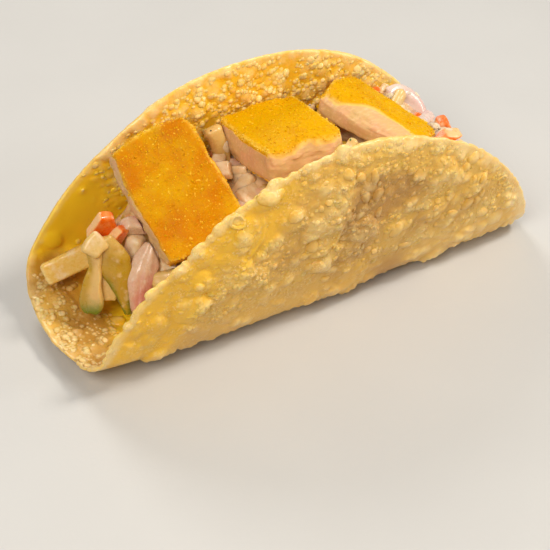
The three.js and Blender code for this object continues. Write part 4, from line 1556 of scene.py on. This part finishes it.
def crust_cover(chicken, local, seed):
    """From 0 on cut meat to 1 on breading: both broad faces and the sides that weren't cut."""
    half = np.array(chicken["size"]) / 2
    ragged = 0.8 * waves(local, 6.5, seed) + 0.35 * waves(local, 1.4, seed + 1)
    border = np.where(local[:, 2] > 0, CRUST + ragged, 0.3)
    depth = half[2] - np.abs(local[:, 2])
    cover = 1 - smoothstep(depth, border - 0.22, border + 0.22)
    for axis, sign in itertools.product((0, 1), (-1, 1)):
        if (axis, sign) not in chicken["cut_sides"]:
            depth = depth_in(chicken, local, axis, sign)
            cover = np.maximum(cover, 1 - smoothstep(depth, border - 0.1, border + 0.4))
    return cover * (1 - bare_top(chicken, local, ragged))


def bare_top(chicken, local, ragged):
    """1 on the meat that the upper crust leaves bare beside a cut side, and 0 elsewhere."""
    bare = np.zeros(len(local))
    for (axis, sign), (width, bevel) in chicken["bare_strips"].items():
        from_side = depth_in(chicken, local, axis, sign)
        narrower = smoothstep(-local[:, 1 - axis], -11, 1) if width > 3 else 1.0
        border = width * narrower + 0.75 * ragged
        blend = 0.3 * bevel
        bare = np.maximum(bare, 1 - smoothstep(from_side, border - blend, border + blend))
    return bare


def bevel_drop(chicken, local):
    """How far a slice's upper face falls away towards such a side."""
    half_height = chicken["size"][2] / 2
    drop = np.zeros(len(local))
    for (axis, sign), (width, bevel) in chicken["bare_strips"].items():
        from_side = depth_in(chicken, local, axis, sign)
        drop += bevel * np.clip(1 - from_side / (1.15 * width + 0.8), 0, 1) ** 2
    return drop * smoothstep(local[:, 2], -0.2 * half_height, half_height)


def wandering(local, size, seed):
    """Random moves in all three directions, about `size` across."""
    return np.stack([waves(local, size, seed + k) for k in range(3)], axis=1)


def build_slice(chicken, index, settings):
    """One slice: a soft-edged block whose crust is craggy and whose cut sides show fibrous meat."""
    local, squares, outward = rounded_block(chicken["size"], CHICKEN_STEP, CHICKEN_EDGE_RADIUS)
    seed = 40 * index
    half = np.array(chicken["size"]) / 2
    cover = crust_cover(chicken, local, seed)
    crumb_mm = settings.crumb * MM_PER_M
    crag = 0.3 * waves(local, 4.2, seed + 2) + 0.1 * waves(local, 1.9, seed + 3)
    near, _ = grains(local, 2.0 * crumb_mm, seed + 4)
    crumbs = 0.14 * near + 0.05 * waves(local, crumb_mm, seed + 9)
    swell = 0.9 * np.cos(math.pi * local[:, 2] / (2 * half[2]))
    fibre = 0.1 * waves(local * [0.5, 0.5, 1.6], 1.5, seed + 10) + 0.12 * waves(local, 4.5, seed + 11)
    lip = 0.16 * np.exp(-(((cover - 0.35) / 0.22) ** 2))
    fibre += chicken["lumpy"] * waves(local, 1.7, seed + 12)
    push = cover * (crag + crumbs - 0.1) + (1 - cover) * (swell + fibre - 0.5) - lip
    sway = wandering(local, 10, seed + 20) * [1.0, 1.0, 0.6]
    sway += 0.35 * wandering(local, 3.2, seed + 23) * [1, 1, 0.3]
    edge = np.clip((1 - np.abs(outward).max(axis=1)) / 0.28, 0, 1)
    push += 0.3 * edge * waves(local, 1.7, seed + 13)
    shaped = local + outward * push[:, None] + sway
    corner = np.prod(smoothstep(np.abs(local[:, :2]) / half[:2], 0.55, 1), axis=1)
    shaped[:, :2] *= 1 - 0.045 * corner[:, None]
    shaped[:, 2] -= bevel_drop(chicken, local)
    turned = turning(chicken["turn"]).T
    toast = chicken["toast"] + 0.45 * waves(local, 9, seed + 30) + 0.25 * waves(local, 3.5, seed + 31)
    values = {"crust": cover, "toast": toast, "edge": edge}
    return shaped @ turned + chicken["at"], squares, values, unit(outward @ turned)


def crumb_shape(random, count):
    """Small uneven eight-sided grains about the origin: (count, 6 points, 3) and the triangles."""
    corners = np.array([[1, 0, 0], [-1, 0, 0], [0, 1, 0], [0, -1, 0], [0, 0, 1], [0, 0, -1]], float)
    triangles = np.array(
        [[0, 2, 4], [2, 1, 4], [1, 3, 4], [3, 0, 4], [2, 0, 5], [1, 2, 5], [3, 1, 5], [0, 3, 5]]
    )
    stretch = random.uniform(0.55, 1.3, (count, 6, 1))
    skew = random.uniform(-0.25, 0.25, (count, 6, 3))
    turns = random.uniform(0, 360, (count, 3))
    shapes = corners * stretch + skew
    return np.einsum("nij,nkj->nki", np.stack([turning(turn) for turn in turns]), shapes), triangles


def build_chicken(settings):
    """The three slices, and the crumbs that stand proud of their crust."""
    finish = chicken_finish(settings)
    crumbs = Batch()
    random = np.random.default_rng(17)
    count = settings.loose_crumbs
    for index, chicken in enumerate(CHICKEN):
        points, squares, values, outward = build_slice(chicken, index, settings)
        node = chicken["node"]
        add_piece(f"{node}_slice", points, squares, finish, node, values)
        on_edge = values["edge"] > 0.2
        chance = (values["crust"] > 0.6) * (1 + 0.4 * on_edge)
        chosen = random.choice(len(points), count, p=chance / chance.sum())
        shapes, triangles = crumb_shape(random, count)
        size = settings.crumb * MM_PER_M * (0.2 + 0.5 * random.uniform(size=count) ** 3)
        tint = random.uniform(size=count) - 0.4 * values["toast"][chosen] + 0.5 * on_edge[chosen]
        spot = points[chosen] - outward[chosen] * (0.1 * size)[:, None]
        spot = spot + random.normal(0, 0.09, (count, 3))
        grain_points = (shapes * size[:, None, None] + spot[:, None]).reshape(-1, 3)
        grain_faces = (triangles[None] + 6 * np.arange(count)[:, None, None]).reshape(-1, 3)
        crumbs.add(grain_points, grain_faces, tint=np.repeat(tint, 6))
    points, faces, values = crumbs.joined()
    finish = crumb_finish(settings)
    add_piece("crust_crumbs", points, faces, finish, values=values, smooth=False)


# -------- the salad

SECTION_V = np.linspace(-92, 92, 461)


def wall_distance_at_height(u, side, height):
    """How far round the sheet the wall, set in by the core's clearance, reaches a height."""
    low, high = np.zeros_like(u), np.full_like(u, 90.0)
    for _ in range(30):
        middle = (low + high) / 2
        below = inset_point(u, side * middle, CORE_INSET)[:, 2] < height
        low, high = np.where(below, middle, low), np.where(below, high, middle)
    return low


def salad_height(x, across):
    """The salad's height at x, from the front wall (across = 0) to the back one (across = 1)."""
    front, middle, back = (np.interp(x, SALAD_TOP[:, 0], SALAD_TOP[:, k]) for k in (1, 2, 3))
    rise = (middle - front) * np.minimum(2 * across, 1) + (back - middle) * np.maximum(2 * across - 1, 0)
    return front + rise


def keep_in_trough(points, inset):
    """Moves what reaches into the wall back along the wall's own direction."""
    y, z = section(SECTION_V)
    heading = unit(np.stack([np.gradient(y), np.gradient(z)], axis=1))
    inward = np.stack([-heading[:, 1], heading[:, 0]], axis=1)
    wall = np.stack([y, z], axis=1)
    moved = points.copy()
    for start in range(0, len(points), 8000):
        part = moved[start : start + 8000]
        flat = np.stack([part[:, 1], part[:, 2] - lift(part[:, 0])], axis=1)
        nearest = ((flat[:, None] - wall[None]) ** 2).sum(axis=2).argmin(axis=1)
        depth = ((flat - wall[nearest]) * inward[nearest]).sum(axis=1)
        part[:, 1:] += np.maximum(inset - depth, 0)[:, None] * inward[nearest]
    return moved


def keep_off_chicken(points):
    """Moves what reaches into a slice out through its nearest side or its underside."""
    moved = points.copy()
    for chicken in CHICKEN:
        half = np.array(chicken["size"]) / 2 + CHICKEN_GAP
        local = in_slice(chicken, moved)
        inside = np.all(np.abs(local) < half, axis=1)
        held = local[inside]
        ways = np.concatenate([half - held, half + held], axis=1)
        ways[:, 2] = np.inf
        best = ways.argmin(axis=1)
        axis, sign = best % 3, np.where(best < 3, 1, -1)
        held[np.arange(len(held)), axis] = sign * half[axis]
        moved[inside] = held @ turning(chicken["turn"]).T + chicken["at"]
    return moved


def smooth_line(stops, shares):
    """Points at shares of a smooth line through the stops, and its direction there."""
    stops = np.array(stops, float)
    padded = np.vstack([2 * stops[0] - stops[1], stops, 2 * stops[-1] - stops[-2]])
    place = np.clip(shares, 0, 1) * (len(stops) - 1)
    first = np.minimum(place.astype(int), len(stops) - 2)
    t = (place - first)[:, None]
    a, b, c, d = (padded[first + k] for k in range(4))
    bend, twist = 2 * a - 5 * b + 4 * c - d, 3 * b - a - 3 * c + d
    point = 0.5 * (2 * b + (c - a) * t + bend * t**2 + twist * t**3)
    heading = 0.5 * ((c - a) + 2 * bend * t + 3 * twist * t**2)
    return point, unit(heading)


def shape_cut(kind, local, half, seed):
    """Gives a cut piece the form of what it is: local is in millimetres about its middle."""
    along, across = local[:, 0] / half[0], local[:, 1] / half[1]
    shaped = local.copy()
    if kind == "onion":
        shaped[:, 1] *= 1 - 0.3 * np.abs(along) ** 3
        shaped[:, 2] *= 1 - 0.3 * across**2
        shaped[:, 2] += 0.22 * half[1] * (1 - across**2) + 0.12 * np.sin(9 * across + seed)
    elif kind == "stalk":
        shaped[:, 1] *= 1 - 0.55 * np.clip((along - 0.6) / 0.4, 0, 1) ** 2
        shaped[:, 2] += 0.35 * np.sin(4 * along + seed) * np.abs(across) ** 1.5
    elif kind == "rib":
        shaped[:, 1] *= 1 - 0.2 * along**2 + 0.1 * np.sin(2.6 * along + seed)
        shaped[:, 2] *= 1.15 - 0.6 * across**2
        shaped[:, 2] += 0.35 * np.sin(4 * along + seed) * np.abs(across) ** 1.5
    elif kind in ("tomato", "wedge"):
        shaped[:, 0] *= 1 - 0.4 * np.clip(local[:, 2] / half[2], -1, 1)
        shaped[:, 1] += 0.12 * half[1] * (1 - along**2)
    elif kind == "stick":
        shaped[:, 1] *= 1 + 0.06 * np.sin(2.1 * along + seed)
    rough = 0.13 if kind == "stick" else 0.2
    return shaped + rough * wandering(local, 2.4, seed)


def edge_radius(kind, thickness):
    """How round the edges of a cut piece are."""
    shares = {"onion": 0.36, "rib": 0.42, "stalk": 0.42, "stick": 0.34, "cube": 0.32, "pith": 0.42}
    return shares.get(kind, 0.24) * thickness


def strip_piece(kind, line, widths, thickness, facing, seed, step):
    """A strip of food along a smooth line, with its widths at even steps along it."""
    length = np.linalg.norm(np.diff(np.array(line, float), axis=0), axis=1).sum()
    size = np.array([length, max(widths), thickness])
    local, squares, _ = rounded_block(size, step, edge_radius(kind, thickness))
    shaped = shape_cut(kind, local, size / 2, seed)
    share = shaped[:, 0] / length + 0.5
    shaped[:, 1] *= np.interp(share, np.linspace(0, 1, len(widths)), widths) / max(widths)
    point, tangent = smooth_line(line, share)
    side = unit(np.cross(np.array(facing, float), tangent))
    normal = unit(np.cross(tangent, side))
    placed = point + side * shaped[:, 1:2] + normal * shaped[:, 2:3]
    return placed, squares, local / (size / 2)


def block_piece(kind, at, turn, size, seed, step):
    """A cut cube, wedge or short strip with uneven corners."""
    size = np.array(size, float)
    local, squares, _ = rounded_block(size, step, edge_radius(kind, size.min()))
    unit_place = local / (size / 2)
    corner_scale = 0.93 + 0.11 * scrambled(CUBE_CORNERS, seed)
    weight = np.prod(0.5 + 0.5 * unit_place[:, None] * (2 * CUBE_CORNERS - 1), axis=2)
    shaped = shape_cut(kind, local, size / 2, seed) * (weight @ corner_scale)[:, None]
    if size[0] > 2.2 * size[1]:
        bend = 0.1 * size[0] * scrambled(np.array([[seed, 3, 5]]), 7)
        shaped[:, 1] += bend * (unit_place[:, 0] ** 2 - 0.5)
    return shaped @ turning(turn).T + np.array(at), squares, unit_place


def is_under_chicken(point):
    """Whether a point lies in a slice or anywhere straight below it, seen in its own directions."""
    for chicken in CHICKEN:
        local = in_slice(chicken, np.array(point))
        half = np.array(chicken["size"]) / 2
        if abs(local[0]) < half[0] and abs(local[1]) < half[1] and local[2] < half[2]:
            return True
    return False


def place_on_salad(x, across):
    """The point of the salad's top at x and a share across it."""
    height = salad_height(x, across)
    here = np.array([float(x)])
    front = section(-wall_distance_at_height(here, -1, height))[0][0]
    back = section(wall_distance_at_height(here, 1, height))[0][0]
    return np.array([x, front + (back - front) * across, height])


def loose_pieces():
    """The small cut pieces that the solid has fused on: kind, middle, turns and size."""
    stream = random_stream(23)
    low, high = LOOSE_SPAN
    pieces = []
    i = 0
    while len(pieces) < LOOSE_PIECES:
        x = low + (high - low) * (i * GOLDEN_SHARE % 1)
        i += 1
        spot = place_on_salad(x, 0.1 + 0.8 * next(stream))
        if is_under_chicken(spot):
            continue
        turn = (60 * next(stream) - 30, 50 * next(stream) - 25, 180 * next(stream))
        size = (6 + 7 * next(stream), 3.5 + 2 * next(stream), 2.6 + 1.4 * next(stream))
        in_clear_gap = CLEAR_GAP[0] < x < CLEAR_GAP[1]
        kind = "cube" if in_clear_gap else LOOSE_KINDS[len(pieces) % len(LOOSE_KINDS)]
        pieces.append((kind, spot + [0, 0, 0.5], turn, size))
    return pieces


def filler_pieces(random, count):
    """Small cuts between the large pieces: kind, middle, turns and size."""
    low, high = FILLER_SPAN
    pieces = []
    i = 0
    while len(pieces) < count:
        x = low + (high - low) * (i * GOLDEN_SHARE % 1)
        i += 1
        spot = place_on_salad(x, random.uniform(0.02, 0.98))
        turn = (random.uniform(-50, 50), random.uniform(-50, 50), random.uniform(0, 180))
        size = (random.uniform(3.2, 7), random.uniform(2, 3.6), random.uniform(1.4, 2.8))
        kind = FILLER_KINDS[int(random.uniform(0, len(FILLER_KINDS)))]
        in_clear_gap = CLEAR_GAP[0] < x < CLEAR_GAP[1]
        if not is_under_chicken(spot - [0, 0, 1.0]) and not in_clear_gap:
            pieces.append((kind, spot + [0, 0, random.uniform(-0.6, 0.7)], turn, size))
    return pieces


def end_pieces(random):
    """The cuts heaped on the salad's right end and down its face: kind, middle, turns and size."""
    pieces = []
    while len(pieces) < END_CUTS:
        x = random.uniform(*END_SPAN)
        spot = place_on_salad(min(x, END_FACE), random.uniform(0.03, 0.97))
        if x > END_FACE:
            spot = spot * [1, 1, random.uniform(0.3, 1)] + [random.uniform(-0.3, 0.8), 0, 0]
        turn = (random.uniform(-60, 60), random.uniform(-60, 60), random.uniform(0, 180))
        size = (random.uniform(4, 9), random.uniform(2.8, 4.6), random.uniform(2, 3.2))
        if spot[2] < END_TOP and not is_under_chicken(spot - [0, 0, 1.0]):
            pieces.append((END_KINDS[len(pieces) % len(END_KINDS)], spot, turn, size))
    return pieces


def shred_lines(random, count):
    """Thin curved shreds that lie over the top."""
    lines = []
    while len(lines) < count:
        x = random.uniform(-36, 42)
        spot = place_on_salad(x, random.uniform(0.08, 0.92)) + [0, 0, 0.8]
        heading = random.uniform(0, 2 * math.pi)
        ahead = np.array([math.cos(heading), math.sin(heading), 0]) * random.uniform(4, 8)
        aside = np.array([-math.sin(heading), math.cos(heading), 0]) * random.uniform(-2.5, 2.5)
        stops = [spot - ahead, spot + aside + [0, 0, random.uniform(0.2, 1.6)], spot + ahead]
        for end in (stops[0], stops[2]):
            across = np.clip(0.5 + end[1] / 50, 0, 1)
            end[2] = salad_height(end[0], across) + random.uniform(-0.5, 0.8)
        if not is_under_chicken(spot - [0, 0, 1.5]):
            lines.append(stops)
    return lines


def build_core(settings):
    """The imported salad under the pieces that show, up to its uneven top."""
    x = np.arange(SALAD_TOP[0, 0], SALAD_TOP[-1, 0], CORE_STEP)
    front = wall_distance_at_height(x, -1, salad_height(x, 0.0))
    back = wall_distance_at_height(x, 1, salad_height(x, 1.0))
    v = -front[:, None] + (front + back)[:, None] * np.linspace(0, 1, CORE_TROUGH_POINTS)
    bottom = inset_point(np.broadcast_to(x[:, None], v.shape), v, CORE_INSET)
    across = 1 - np.arange(1, CORE_TOP_STEPS) / CORE_TOP_STEPS
    y = bottom[:, :1, 1] + (bottom[:, -1:, 1] - bottom[:, :1, 1]) * across[None]
    z = salad_height(x[:, None], across[None]) + SALAD_LUMP * lumps(x[:, None] / 5, y / 5, 0)
    top = np.stack([np.broadcast_to(x[:, None], y.shape), y, z], axis=-1)
    rings = np.concatenate([bottom, top], axis=1)
    shrunk = np.arange(1, CORE_END_RINGS)[:, None, None] / CORE_END_RINGS
    left = rings[0].mean(axis=0) * (1 - shrunk) + rings[:1] * shrunk
    right = rings[-1].mean(axis=0) * shrunk + rings[-1:] * (1 - shrunk)
    points, faces = loft(np.concatenate([left, rings, right]))
    near, bit = grains(points, 4.0, 3)
    points = points + [0, 0, 1] * (1.3 * near[:, None] - 0.9)
    points = keep_off_chicken(keep_in_trough(points, CORE_INSET))
    # The hollow value marks where the core is painted darker, as shade.
    values = {"bit": bit, "hollow": 1 - 1.6 * near, "tint": 0.5 + 0.5 * bit}
    add_piece("salad_core", points, faces, core_finish(settings), "salad", values)


def small_blob(random, size, cells):
    """A smooth blob about the origin, a few cells across."""
    local, squares, _ = rounded_block((2, 2, 2), 2 / cells, 0.98)
    return local * size * random.uniform(0.85, 1.15, 3), squares


def lay_on(surface, random, count, spans):
    """Random places on the salad as seen from above: point and direction out."""
    places = []
    tries = 0
    while len(places) < count and tries < 40 * count:
        tries += 1
        start = Vector((random.uniform(*spans[0]), random.uniform(*spans[1]), 80))
        point, normal, _, _ = surface.ray_cast(start, Vector((0, 0, -1)))
        if point is not None and not is_under_chicken(np.array(point)):
            places.append((np.array(point), np.array(normal if normal.z > 0 else -normal)))
    return places


def frame_about(normal, angle):
    """Three directions, the last along the normal."""
    helper = np.array([math.cos(angle), math.sin(angle), 0.13])
    first = unit(np.cross(helper, normal))
    return np.stack([first, np.cross(normal, first), normal])


SALAD_FINISHES = {
    "stick": stick_finish,
    "rib": rib_finish,
    "stalk": stalk_finish,
    "pith": pith_finish,
    "onion": onion_finish,
    "tomato": tomato_finish,
    "cube": cube_finish,
}


def build_salad(settings):
    """The dressed salad: its core, one piece for each kind of cut, dressing and flecks."""
    random = np.random.default_rng(31)
    batches = {kind: Batch() for kind in SALAD_FINISHES}

    def put(kind, placed, squares, local, tint):
        placed = keep_off_chicken(keep_in_trough(placed, SALAD_INSET))
        batches[MADE_OF.get(kind, kind)].add(placed, squares, local=local, tint=tint)

    def put_blocks(group, pieces, step):
        for seed, (kind, *place) in enumerate(pieces, FIRST_SEED[group]):
            put(kind, *block_piece(kind, *place, seed, step), random.uniform())

    for seed, (kind, *strip) in enumerate(STRIPS, FIRST_SEED["strips"]):
        put(kind, *strip_piece(kind, *strip, seed, STRIP_STEP), random.uniform())
    put_blocks("dice", DICE, DICE_STEP)
    put_blocks("loose", loose_pieces(), DICE_STEP)
    put_blocks("fillers", filler_pieces(random, settings.fillers), FILLER_STEP)
    put_blocks("end", end_pieces(random), END_STEP)
    for seed, line in enumerate(shred_lines(random, settings.shreds), FIRST_SEED["shreds"]):
        kind = ("rib", "onion")[seed % 2]
        widths = random.uniform(1.4, 2.6, 2)
        shred = strip_piece(kind, line, widths, 1.0, (0.1, 0.1, 1), seed, SHRED_STEP)
        put(kind, *shred, random.uniform())

    whole = Batch()
    for kind, batch in batches.items():
        points, faces, values = batch.joined()
        finish = SALAD_FINISHES[kind](settings)
        add_piece(f"salad_{kind}", points, faces, finish, "salad", values)
        whole.add(points, faces)
    build_core(settings)
    points, faces, _ = whole.joined()
    surface = BVHTree.FromPolygons(points.tolist(), faces.tolist())
    build_dressing(settings, surface, random)
    build_specks(settings, surface, random)


def smear(surface, point, normal, width, random):
    """A thin pool of dressing that follows what it lies on, closed below."""
    across, aside, up = frame_about(normal, random.uniform(0, 2 * math.pi))
    turn = np.arange(SMEAR_SIDES) * 2 * math.pi / SMEAR_SIDES
    edge = 1 + 0.28 * np.sin(2 * turn + random.uniform(0, 6))
    edge = edge + 0.16 * np.sin(3 * turn + random.uniform(0, 6))
    stretch = random.uniform(0.5, 1.0)
    top, bottom = [], []
    for ring in range(SMEAR_RINGS + 1):
        share = 0.15 + 0.85 * ring / SMEAR_RINGS
        for angle, reach in zip(turn, edge):
            offset = width * share * reach * (math.cos(angle) * across + stretch * math.sin(angle) * aside)
            start = point + offset + 1.5 * up
            hit, _, _, _ = surface.ray_cast(Vector(start), Vector(-up), 3.0)
            base = np.array(hit) if hit is not None else point + offset - 0.8 * up
            depth = 0.26 * math.sqrt(width * max(1 - share**2, 0))
            top.append(base + (depth - 0.08) * up)
            bottom.append(base - 0.25 * up)
    return loft(np.array(top[::-1] + bottom).reshape(2 * SMEAR_RINGS + 2, SMEAR_SIDES, 3))


def build_dressing(settings, surface, random):
    """Pools and smears of dressing on the cut pieces."""
    smears = Batch()
    for point, normal in lay_on(surface, random, settings.dressing_drops, DRESSING_SPANS):
        placed, faces = smear(surface, point, normal, random.uniform(0.6, 2.1), random)
        facing_out = np.array(triangles_of(faces))[:, ::-1]
        smears.add(keep_off_chicken(keep_in_trough(placed, SALAD_INSET)), facing_out)
    points, faces, values = smears.joined()
    finish = dressing_finish(settings)
    add_piece("salad_dressing", points, faces, finish, "salad", values)


def build_specks(settings, surface, random):
    """Thin flecks of herb, pepper and chilli on the dressed pieces."""
    specks = Batch()
    for point, normal in lay_on(surface, random, settings.specks, FLECK_SPANS):
        size = np.array([random.uniform(0.2, 0.55), random.uniform(0.15, 0.35), 0.08])
        local, squares = small_blob(random, size, 3)
        placed = local @ frame_about(normal, random.uniform(0, 6.28)) + point + 0.05 * normal
        specks.add(placed, squares, tint=random.uniform())
    points, faces, values = specks.joined()
    add_piece("salad_flecks", points, faces, speck_finish(), "salad", values)


# -------- the stage


def build_floor(settings):
    """A pale matt floor, wide enough to fill any view."""
    f = Finish("stage_floor")
    colour = f.over(settings.floor, shade("floor light"), f.noise(60, 4, 0.5), 0.3, 0.7, 0.25)
    f.surface(base_color=colour, roughness=0.62, normal=f.bump(f.noise(1.5, 3), 0.05))
    corners = [(x * FLOOR_HALF, y * FLOOR_HALF, 0) for x, y in ((-1, -1), (1, -1), (1, 1), (-1, 1))]
    mesh = bpy.data.meshes.new("floor")
    mesh.from_pydata(corners, [], [(0, 1, 2, 3)])
    mesh.materials.append(f.material)
    add_object("floor", mesh)


def add_aimed(name, data, place, direction):
    """Adds a light or the camera at a place, facing a direction."""
    thing = add_object(name, data)
    thing.location = place
    thing.rotation_mode = "QUATERNION"
    thing.rotation_quaternion = direction.to_track_quat("-Z", "Y")
    return thing


def add_soft_light(name, place, size, power):
    """A round light that faces the taco."""
    light = bpy.data.lights.new(name, "AREA")
    light.shape = "DISK"
    light.size = size
    light.energy = power
    light.color = LIGHT_COLOUR
    add_aimed(name, light, place, Vector(LIT_POINT) - Vector(place))


def build_stage(settings):
    """The floor, four soft lights, the room's even light and the camera."""
    scene = bpy.context.scene
    scene.view_settings.view_transform = "Standard"
    build_floor(settings)
    for name, (place, size) in LIGHTS.items():
        add_soft_light(name, place, size, getattr(settings, f"{name}_power"))
    world = bpy.data.worlds.new("room")
    world.use_nodes = True
    background = world.node_tree.nodes["Background"].inputs
    background["Color"].default_value = (1, 1, 1, 1)
    background["Strength"].default_value = settings.room_light
    scene.world = world
    add_camera(settings)


def add_camera(settings):
    """The camera, at its angle above the floor and round to the left end."""
    height, side = settings.camera_height, settings.camera_side
    level = math.cos(height)
    back = Vector((-math.sin(side) * level, -math.cos(side) * level, math.sin(height)))
    data = bpy.data.cameras.new("camera")
    data.lens, data.sensor_width = settings.lens, SENSOR_MM
    data.clip_start, data.clip_end = 0.01, 20
    place = Vector(CAMERA_LOOKS_AT) + back * settings.camera_distance
    bpy.context.scene.camera = add_aimed("camera", data, place, -back)


# -------- add-on


class TACO_OT_shell(bpy.types.Operator):
    """Add the fried tortilla shell"""

    bl_idname = "taco.shell"
    bl_label = "Fried Shell"

    def execute(self, context):
        build_shell(context.scene.taco_shell)
        return {"FINISHED"}


class TACO_OT_chicken(bpy.types.Operator):
    """Add the breaded chicken slices and their crumbs"""

    bl_idname = "taco.chicken"
    bl_label = "Breaded Chicken"

    def execute(self, context):
        build_chicken(context.scene.taco_chicken)
        return {"FINISHED"}


class TACO_OT_salad(bpy.types.Operator):
    """Add the dressed chopped salad"""

    bl_idname = "taco.salad"
    bl_label = "Dressed Salad"

    def execute(self, context):
        build_salad(context.scene.taco_salad)
        return {"FINISHED"}


class TACO_OT_stage(bpy.types.Operator):
    """Add the floor, the lights and the camera"""

    bl_idname = "taco.stage"
    bl_label = "Stage"

    def execute(self, context):
        build_stage(context.scene.taco_stage)
        return {"FINISHED"}


class TACO_PT_panel(bpy.types.Panel):
    """Taco settings and the buttons that build it"""

    bl_idname = "TACO_PT_panel"
    bl_label = "Folded Taco"
    bl_space_type = "VIEW_3D"
    bl_region_type = "UI"
    bl_category = "Taco"

    def draw(self, context):
        for name, group, operator in GROUPS:
            box = self.layout.box()
            box.operator(operator.bl_idname)
            for setting in group.__annotations__:
                box.prop(getattr(context.scene, name), setting)


# Each group of settings: its name in a scene, its class, and the operator that builds from it.
GROUPS = [
    ("taco_shell", ShellSettings, TACO_OT_shell),
    ("taco_chicken", ChickenSettings, TACO_OT_chicken),
    ("taco_salad", SaladSettings, TACO_OT_salad),
    ("taco_stage", StageSettings, TACO_OT_stage),
]


def register():
    for name, group, operator in GROUPS:
        bpy.utils.register_class(group)
        setattr(bpy.types.Scene, name, bpy.props.PointerProperty(type=group))
        bpy.utils.register_class(operator)
    bpy.utils.register_class(TACO_PT_panel)


def unregister():
    bpy.utils.unregister_class(TACO_PT_panel)
    for name, group, operator in reversed(GROUPS):
        bpy.utils.unregister_class(operator)
        delattr(bpy.types.Scene, name)
        bpy.utils.unregister_class(group)


def main():
    register()
    bpy.ops.taco.stage()
    bpy.ops.taco.shell()
    bpy.ops.taco.chicken()
    bpy.ops.taco.salad()


if __name__ == "__main__":
    main()
